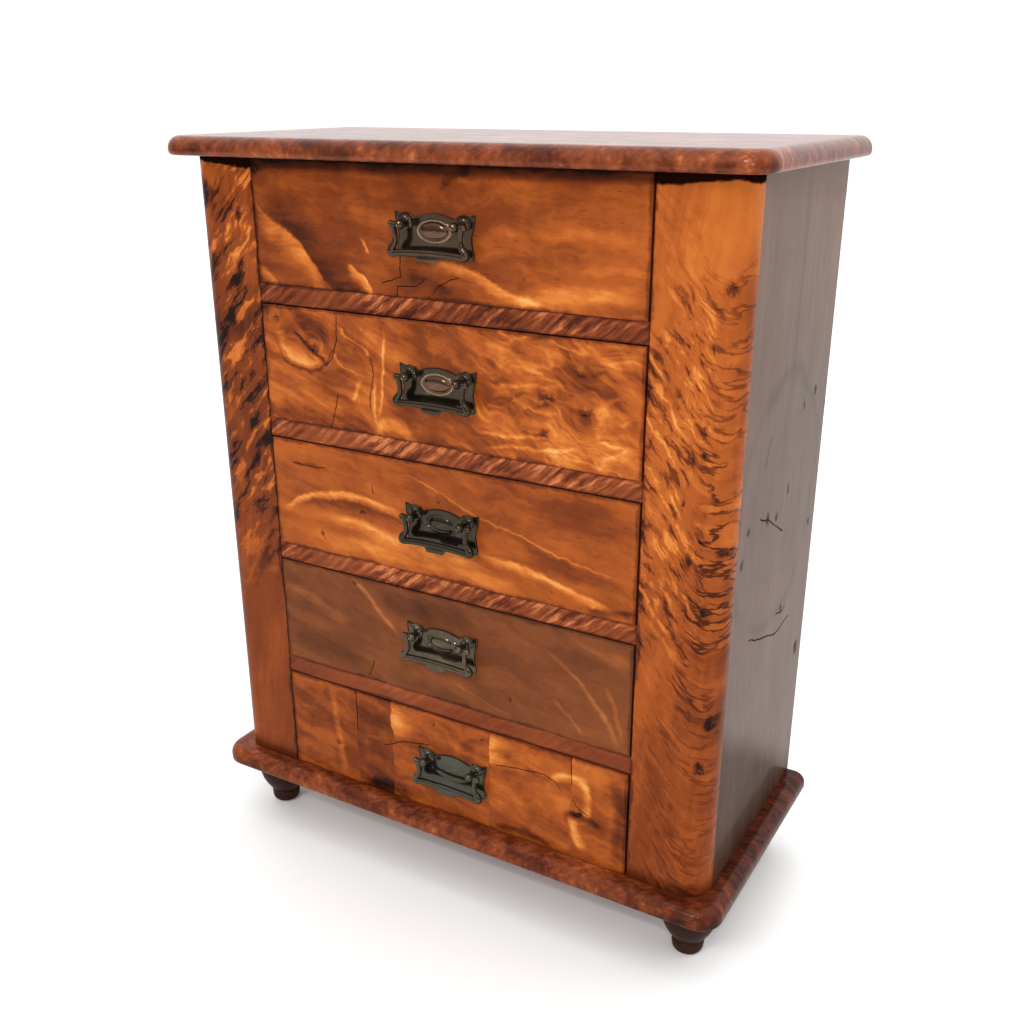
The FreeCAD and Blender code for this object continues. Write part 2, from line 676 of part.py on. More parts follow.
def make_bail(drawer):
    """The swinging bail: headed pins, arms, a bar that ends in rounded knuckles, and a finger lip."""
    middle, height = handle_centre(drawer)
    pivot_y = f"({FRONT} - Sizes.pivot_reach)"
    pivot_z = f"({height} + Sizes.pivot_rise)"
    elbow_z = f"({pivot_z} - Sizes.arm_length)"
    bar_z = f"({pivot_z} - Sizes.bar_drop)"
    pieces = [cylinder(f"bar_{drawer}", size("bar_radius"), size("knuckle_spacing"),
                       (f"{middle} - Sizes.knuckle_spacing / 2", pivot_y, bar_z), X_AXIS),
              box(f"grip_{drawer}", (f"{middle} - Sizes.grip_width / 2", f"{middle} + Sizes.grip_width / 2"),
                  (f"{pivot_y} - Sizes.grip_thickness / 2", f"{pivot_y} + Sizes.grip_thickness / 2"),
                  (f"{bar_z} - Sizes.grip_drop", bar_z))]
    for side, sign in SIDES.items():
        arm_x = f"({middle} + {sign} * Sizes.eye_spacing / 2)"
        head_x = f"({middle} + {sign} * Sizes.pin_head_spacing / 2)"
        knuckle_x = f"({middle} + {sign} * Sizes.knuckle_spacing / 2)"
        pieces += [
            pin(f"pin_{drawer}_{side}", drawer, side, size("pin_radius"),
                size("pin_head_spacing"), size("pin_end_gap")),
            sphere(f"pin_head_{drawer}_{side}", size("pin_head_radius"), (head_x, pivot_y, pivot_z)),
            sphere(f"eye_{drawer}_{side}", size("arm_radius"), (arm_x, pivot_y, pivot_z)),
            cylinder(f"arm_{drawer}_{side}", size("arm_radius"), size("arm_length"),
                     (arm_x, pivot_y, elbow_z), Z_AXIS),
            sphere(f"elbow_{drawer}_{side}", size("arm_radius"), (arm_x, pivot_y, elbow_z)),
            sphere(f"knuckle_{drawer}_{side}", size("knuckle_radius"), (knuckle_x, pivot_y, bar_z)),
        ]
    keep(f"drawer_{drawer}_bail", fuse(f"bail_{drawer}", pieces))


# ---------------------------------------------------------------- build, check and write


def check_document():
    """Stop on any failed object, and on any sub-part that isn't a sound closed shape."""
    failed = [obj.Name for obj in doc.Objects if {"Invalid", "Error"} & set(obj.State)]
    if failed:
        raise RuntimeError("failed objects: " + ", ".join(failed))
    for part in sub_parts:
        shape = part.Shape
        if shape.isNull() or not shape.isValid() or not shape.Solids:
            raise RuntimeError(f"{part.Label} has no sound shape")


def build():
    make_boards()
    for node, along_x, along_y in foot_places():
        make_foot(node, along_x, along_y)
    for side, sign in SIDES.items():
        make_stile(side, sign)
    for rail in RAILS:
        make_rail(rail)
    make_sides_and_back()
    make_running_gear()
    for drawer in DRAWERS:
        make_drawer_box(drawer)
        make_plate(drawer)
        make_posts(drawer)
        make_bail(drawer)
    doc.recompute()
    check_document()


def write_parts():
    os.makedirs("parts", exist_ok=True)
    for part in sub_parts:
        part.Shape.exportStep(f"parts/{part.Label}.step")
        print(part.Label, len(part.Shape.Solids), round(part.Shape.Volume, 1))


build()
write_parts()
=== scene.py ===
import json
import math
import operator
from collections import namedtuple
from functools import reduce

import bpy
from mathutils import Matrix, Vector


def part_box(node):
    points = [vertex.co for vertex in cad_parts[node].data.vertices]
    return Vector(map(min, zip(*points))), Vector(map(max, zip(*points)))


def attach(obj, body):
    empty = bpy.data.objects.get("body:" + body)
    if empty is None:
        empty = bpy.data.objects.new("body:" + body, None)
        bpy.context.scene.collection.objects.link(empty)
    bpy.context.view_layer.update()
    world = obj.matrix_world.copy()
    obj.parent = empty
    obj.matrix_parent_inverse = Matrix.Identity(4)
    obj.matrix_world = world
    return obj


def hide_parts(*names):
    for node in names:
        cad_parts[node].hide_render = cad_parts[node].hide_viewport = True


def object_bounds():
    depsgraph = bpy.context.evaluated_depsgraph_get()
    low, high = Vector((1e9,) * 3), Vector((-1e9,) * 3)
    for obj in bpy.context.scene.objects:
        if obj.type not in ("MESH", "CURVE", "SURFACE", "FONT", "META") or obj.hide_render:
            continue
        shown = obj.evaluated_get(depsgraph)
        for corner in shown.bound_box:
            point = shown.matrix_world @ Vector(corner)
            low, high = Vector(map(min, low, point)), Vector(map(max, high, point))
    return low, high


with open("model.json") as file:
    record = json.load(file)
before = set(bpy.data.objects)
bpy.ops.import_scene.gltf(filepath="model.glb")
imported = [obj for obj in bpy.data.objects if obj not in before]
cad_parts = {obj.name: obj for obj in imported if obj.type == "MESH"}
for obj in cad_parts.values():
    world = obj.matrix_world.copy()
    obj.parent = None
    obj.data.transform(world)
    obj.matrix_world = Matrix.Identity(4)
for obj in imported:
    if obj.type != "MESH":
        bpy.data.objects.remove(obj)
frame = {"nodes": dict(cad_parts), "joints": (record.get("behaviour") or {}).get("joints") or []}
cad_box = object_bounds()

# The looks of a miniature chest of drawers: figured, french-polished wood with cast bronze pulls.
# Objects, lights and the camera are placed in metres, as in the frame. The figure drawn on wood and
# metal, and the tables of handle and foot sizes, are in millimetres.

MM = 0.001
DRAWERS = (1, 2, 3, 4, 5)
RAILS = (1, 2, 3, 4)
# The sign of X on each side.
SIDES = {"left": -1, "right": 1}
FRONT_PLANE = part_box("drawer_1_front")[0].y
FLOOR_PLANE = cad_box[0].z


# ---------------------------------------------------------------- node graphs


def srgb(red, green, blue):
    """A colour given as 0 to 255 on a screen, as the linear colour that a shader takes."""
    linear = []
    for channel in (red, green, blue):
        share = channel / 255
        linear.append(share / 12.92 if share <= 0.04045 else ((share + 0.055) / 1.055) ** 2.4)
    return (*linear, 1.0)


def colours(*rows):
    """The stops of a colour ramp, each given as its place and its colour on a screen."""
    return [(place, srgb(*colour)) for place, *colour in rows]


class Wire:
    """One output in a node graph, with arithmetic and the nodes that shape it."""

    def __init__(self, graph, socket):
        self.graph = graph
        self.socket = socket

    def __add__(self, other):
        return self.graph.math("ADD", self, other)

    def __sub__(self, other):
        return self.graph.math("SUBTRACT", self, other)

    def __mul__(self, other):
        return self.graph.math("MULTIPLY", self, other)

    def __neg__(self):
        return self * -1.0

    def size(self):
        return self.graph.math("ABSOLUTE", self)

    def larger(self, other):
        return self.graph.math("MAXIMUM", self, other)

    def span(self, start, end):
        """A smooth step from 0 at start to 1 at end, whichever is the larger."""
        node = self.graph.node("ShaderNodeMapRange", {"Value": self, "From Min": start, "From Max": end},
                               interpolation_type="SMOOTHSTEP")
        return self.graph.wire(node)

    def line(self, points, jagged):
        """A curve through points in the unit square, read at this value."""
        node = self.graph.node("ShaderNodeFloatCurve", {"Value": self})
        curve = node.mapping.curves[0]
        curve.points[0].location = points[0]
        curve.points[-1].location = points[-1]
        for point in points[1:-1]:
            curve.points.new(*point)
        for point in curve.points:
            point.handle_type = "VECTOR" if jagged else "AUTO_CLAMPED"
        node.mapping.update()
        return self.graph.wire(node)

    def ramp(self, stops):
        """The colour at this value along stops, each a place from 0 to 1 and a colour."""
        node = self.graph.node("ShaderNodeValToRGB", {0: self})
        elements = node.color_ramp.elements
        elements.remove(elements[-1])
        elements[0].position, elements[0].color = stops[0]
        for position, colour in stops[1:]:
            elements.new(position).color = colour
        return self.graph.wire(node)

    def apart(self):
        """The three parts of a vector."""
        node = self.graph.node("ShaderNodeSeparateXYZ", {0: self})
        return [self.graph.wire(node, index) for index in range(3)]

    def scaled(self, factor):
        node = self.graph.node("ShaderNodeVectorMath", {"Vector": self, "Scale": factor}, operation="SCALE")
        return self.graph.wire(node)

    def turned(self, degrees):
        """A vector turned about its third axis."""
        node = self.graph.node("ShaderNodeVectorRotate", {"Vector": self, "Angle": math.radians(degrees)},
                               rotation_type="Z_AXIS")
        return self.graph.wire(node)

    def noise(self, lengths, detail=2.0, roughness=0.5):
        """Noise from 0 to 1 at this place, whose lumps have these lengths along each axis."""
        node = self.graph.node("ShaderNodeTexNoise", {
            "Vector": self.graph.vector_math("DIVIDE", self, lengths),
            "Scale": 1.0, "Detail": detail, "Roughness": roughness})
        return self.graph.wire(node)

    def warped(self, *ripples):
        """This place pushed about by noise; each ripple is a wavelength and a reach."""
        place = self
        for wavelength, reach in ripples:
            node = self.graph.node("ShaderNodeTexNoise", {
                "Vector": place.scaled(1 / wavelength), "Scale": 1.0, "Detail": 2.0})
            push = self.graph.vector_math("SUBTRACT", self.graph.wire(node, 1), (0.5, 0.5, 0.5))
            place = self.graph.vector_math("ADD", place, push.scaled(2 * reach))
        return place


class Graph:
    """The node graph of one material or world, with short calls for the nodes used here."""

    def __init__(self, name, kind=bpy.data.materials, shader="Principled BSDF"):
        self.owner = kind.new(name)
        self.owner.use_nodes = True
        self.tree = self.owner.node_tree
        self.shader = self.tree.nodes[shader]

    def plug(self, socket, value):
        if isinstance(value, Wire):
            self.tree.links.new(value.socket, socket)
        else:
            socket.default_value = value

    def node(self, kind, inputs=(), **settings):
        """A new node; inputs gives each input's name or number and its wire or constant."""
        node = self.tree.nodes.new(kind)
        for setting, value in settings.items():
            setattr(node, setting, value)
        for key, value in dict(inputs).items():
            self.plug(node.inputs[key], value)
        return node

    def wire(self, node, output=0):
        return Wire(self, node.outputs[output])

    def position(self):
        """Place in the object's own axes, in metres."""
        return self.wire(self.node("ShaderNodeTexCoord"), "Object")

    def math(self, operation, *values):
        return self.wire(self.node("ShaderNodeMath", enumerate(values), operation=operation))

    def vector_math(self, operation, *values):
        return self.wire(self.node("ShaderNodeVectorMath", enumerate(values), operation=operation))

    def together(self, *parts):
        return self.wire(self.node("ShaderNodeCombineXYZ", enumerate(parts)))

    def length(self, *parts):
        """The length of a vector that is given by its parts."""
        node = self.node("ShaderNodeVectorMath", {"Vector": self.together(*parts)}, operation="LENGTH")
        return self.wire(node, "Value")

    def mix(self, share, first, second):
        """The colour first where share is 0, and second where it is 1."""
        node = self.node("ShaderNodeMix", {0: share, 6: first, 7: second}, data_type="RGBA")
        return self.wire(node, 2)

    def finish(self, relief, **inputs):
        """Set the shader's inputs, and let relief, in millimetres, shape its surface."""
        bump = self.node("ShaderNodeBump", {"Height": relief, "Distance": MM, "Strength": 1.0})
        for name, value in inputs.items():
            self.plug(self.shader.inputs[name.replace("_", " ")], value)
        self.plug(self.shader.inputs["Normal"], self.wire(bump))
        return self.owner


# ---------------------------------------------------------------- wood


# How strongly each layer of the grain shows, and its angle in degrees to the board's length.
Grain = namedtuple("Grain", "angle ground streaks curl fibre")

# A line of light (above 0) or dark (below 0) figure through points in millimetres from the board's
# middle. below and above are the widths over which it fades on either side; where the line runs
# upright they are its left and right.
Streak = namedtuple("Streak", "light below above points")

FLAME = colours((0.0, 26, 10, 5), (0.22, 74, 31, 13), (0.42, 118, 54, 20), (0.6, 160, 80, 30),
                (0.78, 194, 110, 45), (1.0, 220, 156, 84))
DULL = colours((0.0, 32, 16, 10), (0.22, 66, 34, 19), (0.42, 100, 53, 28), (0.6, 128, 70, 36),
               (0.78, 160, 92, 48), (1.0, 190, 124, 74))
RUSSET = colours((0.0, 24, 9, 6), (0.25, 56, 22, 12), (0.5, 92, 40, 20), (0.75, 132, 65, 33),
                 (1.0, 184, 108, 64))
PLAIN_SIDE = colours((0.0, 24, 15, 11), (0.3, 56, 36, 26), (0.55, 88, 60, 44), (0.8, 116, 82, 62),
                     (1.0, 138, 100, 78))
PALE_PINE = colours((0.0, 92, 58, 30), (0.35, 142, 98, 56), (0.65, 178, 132, 82),
                    (1.0, 206, 164, 112))
OLD_BACK = colours((0.0, 52, 34, 20), (0.35, 92, 62, 38), (0.65, 124, 88, 56), (1.0, 152, 114, 76))
STAINED_FOOT = colours((0.0, 24, 15, 12), (0.5, 62, 36, 26), (1.0, 112, 66, 44))
CRACK_COLOUR = srgb(16, 10, 8)


def board_place(graph, middle, along, across, depth):
    """Place on a board in millimetres from its middle: along the grain, across it and into it.

    Each direction is an axis with its sign, such as "+x".
    """
    offset = graph.vector_math("SUBTRACT", graph.position(), middle)
    offsets = offset.scaled(1 / MM).apart()
    parts = []
    for sign, axis in (along, across, depth):
        part = offsets["xyz".index(axis)]
        parts.append(part if sign == "+" else -part)
    return graph.together(*parts)


def grain_light(place, grain):
    """How light the grain is, about 0: broad patches, long streaks, cross curl and fine fibres."""
    lie = place.turned(-grain.angle)
    ground = lie.noise((95, 34, 30))
    streaks = lie.noise((60, 5.5, 9), 4.0, 0.6)
    curl = lie.noise((7.5, 26, 14))
    fibre = lie.noise((9, 0.5, 0.9))
    light = (ground - 0.5) * grain.ground + (streaks - 0.5) * grain.streaks
    return light + (curl - 0.5) * grain.curl + (fibre - 0.5) * grain.fibre


def streak_mask(along, across, streak, jagged=False):
    """1 on a streak's line, falling to 0 over its soft edges and towards its ends."""
    lengths, heights = zip(*streak.points)
    if max(heights) - min(heights) > max(lengths) - min(lengths):
        lengths, heights = heights, lengths
        along, across = across, along
    first, last = min(lengths), max(lengths)
    low, high = min(heights) - 1, max(heights) + 1
    points = sorted(((length - first) / (last - first), (height - low) / (high - low))
                    for length, height in zip(lengths, heights))
    share = (along - first) * (1 / (last - first))
    line = share.line(points, jagged) * (high - low) + low
    offset = across - line
    fade = 0.05 if jagged else 0.22
    mask = offset.span(-streak.below, 0) * offset.span(streak.above, 0)
    return mask * share.span(0, fade) * share.span(1, 1 - fade)


def streaks_light(place, streaks):
    """The sum of the light of several streaks."""
    along, across, _ = place.apart()
    lights = [streak_mask(along, across, streak) * streak.light for streak in streaks]
    return reduce(operator.add, lights)


def crack_mask(place, cracks, width=0.45):
    """1 along fine open cracks, each a list of points."""
    along, across, _ = place.apart()
    masks = [streak_mask(along, across, Streak(1, width, width, points), jagged=True) for points in cracks]
    return reduce(Wire.larger, masks)


def knots_mask(graph, place, knots):
    """1 in dark knots of ragged outline, each a place along and across the board and a radius."""
    along, across, _ = place.warped((6, 2.4), (1.8, 1.0)).apart()
    speckle = place.noise((1.6, 1.6, 1.6), 3.0, 0.6)
    masks = []
    for knot_along, knot_across, radius in knots:
        distance = graph.length((along - knot_along) * 0.8, (across - knot_across) * 1.25, 0.0)
        masks.append(distance.span(radius, radius * 0.2))
    return reduce(Wire.larger, masks) * speckle.span(0.3, 0.52)


def flow_round(graph, place, knots):
    """place bent so that grain drawn on it parts and flows round knots."""
    along, across, depth = place.apart()
    bent = across
    for knot_along, knot_across, radius in knots:
        beside = along - knot_along
        above = across - knot_across
        distance = beside * beside + above * above + radius * radius * 0.6
        push = above * graph.math("DIVIDE", radius * radius * 3.0, distance)
        bent = bent - push
    return graph.together(along, bent, depth)


def edge_grime(place, half_length, half_height, reach):
    """1 along the edges of a board's face, falling to 0 over reach."""
    along, across, _ = place.apart()
    ends = along.size().span(half_length - reach, half_length)
    rims = across.size().span(half_height - reach, half_height)
    return ends.larger(rims)


def polished(graph, colour, relief, bare=0.0, roughness=0.36, coat=0.14, coat_ior=1.4):
    """French polish over colour: a clear coat that follows the wood's relief and its own ripple.

    bare is 1 where the polish is missing, as in cracks.
    """
    place = graph.position().scaled(1 / MM)
    ripple = place.noise((16, 16, 16))
    brush = place.noise((2.2, 2.2, 2.2))
    smear = place.noise((30, 30, 30), 3.0)
    height = relief + ripple * 0.1 + brush * 0.012
    worn = (smear - 0.5) * 0.18 + roughness
    kept = graph.math("SUBTRACT", 1.0, bare)
    return graph.finish(height, Base_Color=colour, Roughness=worn, Specular_IOR_Level=kept * 0.02,
                        Coat_Weight=kept * coat, Coat_Roughness=0.1, Coat_IOR=coat_ior)


def middle_of(node):
    """The middle of a node's box, in metres."""
    low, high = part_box(node)
    return (low + high) / 2


def half_of(node):
    """Half of a node's size along each axis, in millimetres."""
    low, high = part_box(node)
    return (high - low) / (2 * MM)


# The figure of each drawer front, and the painted light across it.
FRONT_TONE = {1: 0.46, 2: 0.54, 3: 0.53, 4: 0.48, 5: 0.46}
# Painted light: how much lighter each front is at its right end than at its left.
FRONT_LIGHT_SLOPE = {1: 0.16, 2: 0.06, 3: -0.02, 4: 0.05, 5: 0.05}
FRONT_CLOUDS = {1: 0.14, 2: 0.24, 3: 0.13, 4: 0.1, 5: 0.2}
FRONT_GRAIN = {
    1: Grain(-4, 0.34, 0.2, 0.1, 0.07),
    2: Grain(-20, 0.42, 0.42, 0.12, 0.07),
    3: Grain(-8, 0.22, 0.2, 0.07, 0.07),
    4: Grain(-12, 0.3, 0.16, 0.06, 0.06),
    5: Grain(-10, 0.26, 0.18, 0.14, 0.07),
}
FRONT_STREAKS = {
    1: [
        Streak(0.34, 22, 3.5, [(-147, 15), (-130, 0), (-110, -12), (-95, -28), (-84, -42)]),
        Streak(-0.16, 3, 34, [(-140, 16), (-120, -2), (-100, -18), (-84, -36), (-40, -60)]),
        Streak(0.28, 7, 5, [(-147, -29), (-137, -34), (-126, -42)]),
        Streak(0.42, 10, 2, [(-70, -24), (-60, -28), (-52, -34), (-45, -43)]),
        Streak(0.3, 2.5, 1.5, [(-58, -5), (-54, -10), (-51, -16)]),
        Streak(0.34, 8, 3, [(-10, -20), (12, -18), (26, -21), (42, -28), (60, -35), (80, -37)]),
        Streak(0.26, 9, 12, [(50, -40), (80, -34), (110, -30), (147, -26)]),
        Streak(-0.14, 10, 4, [(-24, -24), (0, -31), (18, -36)]),
        Streak(-0.16, 3, 7, [(2, 26), (14, 32), (28, 38)]),
        Streak(0.1, 6, 8, [(30, 8), (70, 2), (110, 4), (147, 0)]),
    ],
    2: [
        Streak(-0.24, 3, 2, [(-140, 34), (-132, 12), (-122, 0), (-108, -2), (-94, 3), (-84, 16),
                             (-79, 36)]),
        Streak(0.2, 2, 16, [(-136, 34), (-129, 14), (-120, 4), (-108, 2), (-97, 6), (-90, 14)]),
        Streak(-0.42, 4, 2, [(-120, 26), (-108, 17), (-97, 10), (-88, 5)]),
        Streak(-0.2, 4, 16, [(-118, 34), (-104, 24), (-86, 20)]),
        Streak(0.24, 3, 2, [(-82, 12), (-77, 30), (-69, 37), (-60, 30), (-54, 14), (-50, -4)]),
        Streak(0.26, 2.5, 2, [(-50, -2), (-52, -18), (-50, -34)]),
        Streak(0.28, 2, 2, [(-41, 36), (-42, 12), (-45, -10), (-50, -32)]),
        Streak(0.22, 3, 3, [(-62, -2), (-66, -12), (-71, -21)]),
        Streak(0.3, 9, 7, [(-54, -38), (-38, -30), (-18, -34)]),
        Streak(-0.14, 14, 10, [(-147, -30), (-120, -32), (-90, -34), (-60, -38)]),
        Streak(0.12, 16, 16, [(70, -36), (110, -26), (147, -20)]),
        Streak(0.18, 3, 2, [(28, 8), (50, 6), (72, 9), (96, 13)]),
        Streak(0.22, 2, 2, [(24, -22), (34, -26), (44, -26), (74, -24), (90, -24)]),
        Streak(0.2, 2, 2, [(30, -38), (50, -33), (80, -32), (110, -24)]),
    ],
    3: [
        Streak(0.36, 6, 3, [(-146, -17), (-128, -6), (-104, 4), (-76, 8), (-50, 5), (-26, 0)]),
        Streak(-0.16, 7, 3, [(-130, -8), (-104, -1), (-76, 1), (-50, -2), (-26, -4)]),
        Streak(0.3, 10, 6, [(-112, -14), (-80, -12), (-50, -17), (-20, -20), (20, -22), (44, -26)]),
        Streak(0.34, 7, 3, [(22, -14), (44, -17), (70, -20), (100, -27), (126, -34), (147, -38)]),
        Streak(0.2, 10, 12, [(-130, -30), (-80, -30), (-20, -32), (40, -34), (80, -38)]),
        Streak(0.2, 1.5, 1.2, [(-46, 30), (-20, 28), (0, 22), (20, 14), (60, 3), (100, -7), (146, -15)]),
        Streak(-0.12, 14, 6, [(60, -4), (100, -12), (146, -22)]),
        Streak(-0.1, 12, 22, [(20, 30), (80, 24), (146, 14)]),
        Streak(-0.3, 5, 3, [(108, -36), (124, -35), (147, -33)]),
        Streak(-0.14, 2, 2, [(-128, 22), (-114, 24), (-100, 22)]),
    ],
    4: [
        Streak(0.26, 4, 5, [(-84, 40), (-64, 27), (-52, 14), (-42, 6), (-36, -4)]),
        Streak(0.16, 9, 6, [(-147, 20), (-122, 16), (-98, 8), (-78, 2)]),
        Streak(0.2, 5, 4, [(76, 27), (94, 14), (108, 3), (120, -10), (130, -24), (140, -41)]),
        Streak(0.14, 3, 3, [(84, -12), (98, -22), (112, -37)]),
        Streak(0.14, 3, 3, [(126, 8), (133, -8), (140, -36)]),
        Streak(0.14, 1, 1, [(2, -21), (28, -30), (58, -37)]),
        Streak(-0.12, 18, 14, [(-147, -18), (-110, -22), (-66, -34)]),
        Streak(-0.12, 12, 12, [(-62, 34), (-20, 26), (30, 30)]),
        Streak(0.14, 8, 8, [(96, 34), (120, 28), (147, 26)]),
        Streak(0.12, 10, 10, [(-40, -30), (-10, -24), (30, -30)]),
    ],
    5: [
        Streak(0.18, 5, 5, [(-104, 40), (-102, 10), (-98, -16), (-96, -41)]),
        Streak(0.34, 1, 22, [(-49, 41), (-48, 22), (-46, 8)]),
        Streak(0.26, 1, 16, [(37, 41), (37, 24), (38, 10)]),
        Streak(-0.12, 8, 14, [(34, 36), (16, 18), (20, 4)]),
        Streak(0.3, 6, 5, [(84, 18), (100, 24), (118, 22)]),
        Streak(0.3, 6, 4, [(114, 26), (116, 6), (114, -8)]),
        Streak(0.34, 4, 8, [(103, -5), (105, -18), (110, -34)]),
        Streak(-0.3, 7, 4, [(94, -8), (110, -4), (130, -10)]),
        Streak(-0.24, 10, 8, [(-78, -40), (-52, -33), (-30, -36)]),
        Streak(-0.2, 5, 4, [(36, -38), (60, -34), (96, -37)]),
        Streak(-0.2, 8, 14, [(134, 41), (140, 0), (138, -41)]),
    ],
}
FRONT_CRACKS = {
    1: [[(-26, -14), (-26.5, -22), (-26, -29)], [(-41, -33), (-34, -31), (-26, -28)],
        [(-29, -33), (-29.5, -41)], [(-29, -34), (-15, -33), (-8, -29)],
        [(-3, -38), (2, -32), (10, -28), (18, -25)]],
    2: [[(-80, 38), (-81, 20), (-86, 8), (-92, 1)], [(-82, -15), (-85, -28), (-90, -41)],
        [(-53, 13), (-51, 1), (-55, -14), (-55, -24)]],
    3: [[(-57, 18), (-56, 12)], [(-104, -24), (-101, -31)], [(-128, 24), (-112, 23), (-96, 24)]],
    4: [[(-62, -24), (-65, -32), (-68, -38)], [(53, -22), (54, -26)]],
    5: [[(-82, 41), (-81, 20), (-82, 6)], [(40, 15), (60, 18), (80, 20), (90, 17), (97, 8)],
        [(102, 41), (102.5, 18)], [(103, 8), (108, 1), (116, -2)], [(-58, 0), (-40, 9), (-14, 14)]],
}
FRONT_KNOTS = {
    1: [(-142, 34, 6)],
    2: [(80, 2, 7), (78, -21, 5), (107, -3, 6), (-100, 15, 5), (-142, 37, 6), (-132, 32, 4)],
    3: [(-66, -4, 3), (-103, -28, 2), (-2, 16, 1.5)],
    4: [(53, -24, 1.4), (-78, 35, 3)],
    5: [(107, -4, 5), (-101, -11, 3), (30, 31, 1.5), (-12, 30, 1.2)],
}
# Where one leaf of veneer ends and the next begins, and the step in tone there.
FRONT_LEAVES = {5: [(-82, -0.07), (-49, 0.1), (36, 0.03), (102, 0.01)]}
# How strongly burr swirls show, which drawer has painted shade along its upper edge, under the top
# board's overhang, and which has lost its shine.
SWIRLS = {2: 0.16}
PAINTED_OVERHANG_SHADE = (1,)
DULLED = (4,)


def swirls_light(place):
    """Bright lines that curl and close, each with a dark hollow on one side, as in burr."""
    curled = place.turned(14).warped((46, 17), (16, 4.5), (4, 0.8))
    width = 0.06
    lights = []
    for lengths, strength in (((70, 16, 30), 1.0), ((34, 10, 18), 0.7)):
        field = curled.noise(lengths, 1.0)
        bright = (field - 0.5).size().span(width, 0.0)
        hollow = (field - 0.5 - width * 2.3).size().span(width * 1.3, 0.0)
        lights.append((bright - hollow * 0.8) * strength)
    broken = curled.noise((24, 14, 20)).span(0.36, 0.6)
    return reduce(operator.add, lights) * broken


def leaf_steps(graph, place, leaves):
    """The tone of each leaf of veneer, and place shifted so that no two leaves share a figure."""
    along, across, depth = place.apart()
    tones = []
    for edge, step in leaves:
        beyond = along.span(edge - 0.5, edge + 0.5)
        tones.append(beyond * step)
        depth = depth + beyond * 90
    return reduce(operator.add, tones), graph.together(along, across, depth)


def clouds_light(place):
    """Clouded figure about 0: soft bright flames with darker hollows between them."""
    curled = place.warped((30, 9), (9, 3))
    clouds = curled.noise((40, 12, 20), 3.0, 0.55)
    return clouds.span(0.3, 0.7) - 0.5


def drawer_front_material(drawer):
    """Veneer of one drawer front, with its own figure, cracks and knots."""
    node = f"drawer_{drawer}_front"
    graph = Graph(f"figured_front_{drawer}")
    half = half_of(node)
    grain = FRONT_GRAIN[drawer]
    place = board_place(graph, middle_of(node), "+x", "+z", "+y")
    along, across, _ = place.apart()
    soft = place.warped((34, 3.0), (9, 1.4))
    feathered = soft.warped((6, 1.6), (2.2, 0.7))
    leaf_tone = 0.0
    if drawer in FRONT_LEAVES:
        leaf_tone, soft = leaf_steps(graph, soft, FRONT_LEAVES[drawer])
    flowing = flow_round(graph, soft, FRONT_KNOTS[drawer])
    lie = flowing.turned(-grain.angle)
    broken = lie.noise((16, 3.5, 8), 3.0, 0.6) * 1.3 + 0.35
    light = grain_light(flowing, grain) + clouds_light(lie) * FRONT_CLOUDS[drawer]
    # Painted light: the front brightens towards its right end by its slope.
    light = light + along * (FRONT_LIGHT_SLOPE[drawer] / (2 * half.x)) + leaf_tone
    light = light + streaks_light(feathered, FRONT_STREAKS[drawer]) * broken + FRONT_TONE[drawer]
    if drawer in SWIRLS:
        burr = along.span(10, 45) * along.span(150, 128)
        light = light + swirls_light(soft) * burr * SWIRLS[drawer]
    ticks = lie.noise((7, 1.1, 3)).span(0.64, 0.76)
    light = light - ticks * 0.14 - knots_mask(graph, feathered, FRONT_KNOTS[drawer]) * 0.3
    light = light - edge_grime(feathered, half.x, half.z, 2.6) * 0.2
    cracks = crack_mask(place.warped((3.5, 0.9)), FRONT_CRACKS[drawer], 0.6)
    # Painted shade under the top board's overhang darkens the top drawer's upper edge.
    if drawer in PAINTED_OVERHANG_SHADE:
        light = light - across.span(half.z - 9, half.z - 2) * 0.3
    colour = light.ramp(DULL if drawer in DULLED else FLAME)
    colour = graph.mix(cracks, colour, CRACK_COLOUR)
    pores = lie.noise((5, 0.4, 0.6), 1.0).span(0.62, 0.78)
    return polished(graph, colour, cracks * -0.35 - pores * 0.02, cracks)


# Knots and dark streaks of each corner board, in millimetres up from its lower end and out from its
# inner edge.
STILE_KNOTS = {
    "left": [(355, 29, 7), (440, 44, 10), (425, 14, 5)],
    "right": [(279, 26, 3.6), (242, 32, 3.4), (249, 50, 5), (134, 50, 6), (100, 45, 4.5), (404, 46, 7)],
}
STILE_STREAKS = {
    "left": [Streak(-0.16, 14, 22, [(352, -10), (348, 30), (344, 64)])],
    "right": [Streak(-0.16, 10, 16, [(470, 46), (300, 60), (0, 58)])],
}
# For each side, the slant of the flecks in degrees and their lengths.
STILE_FLECKS = {"left": (40, (36, 9.5, 18)), "right": (36, (20, 5, 10))}


def left_stile_light(height, out, clouds, bright, dark):
    """Bold slanting flames on the upper part of the left corner board, and its darker outer edge."""
    figured = height.span(110, 260) * clouds.span(0.3, 0.46)
    outer = out.span(34, 56) * height.span(90, 240)
    # Painted light: the board grows lighter towards the top.
    tone = height.span(300, 440) * 0.1 - outer * 0.14 + 0.44
    return (bright * 0.36 - dark * 0.44 - 0.08) * figured + tone


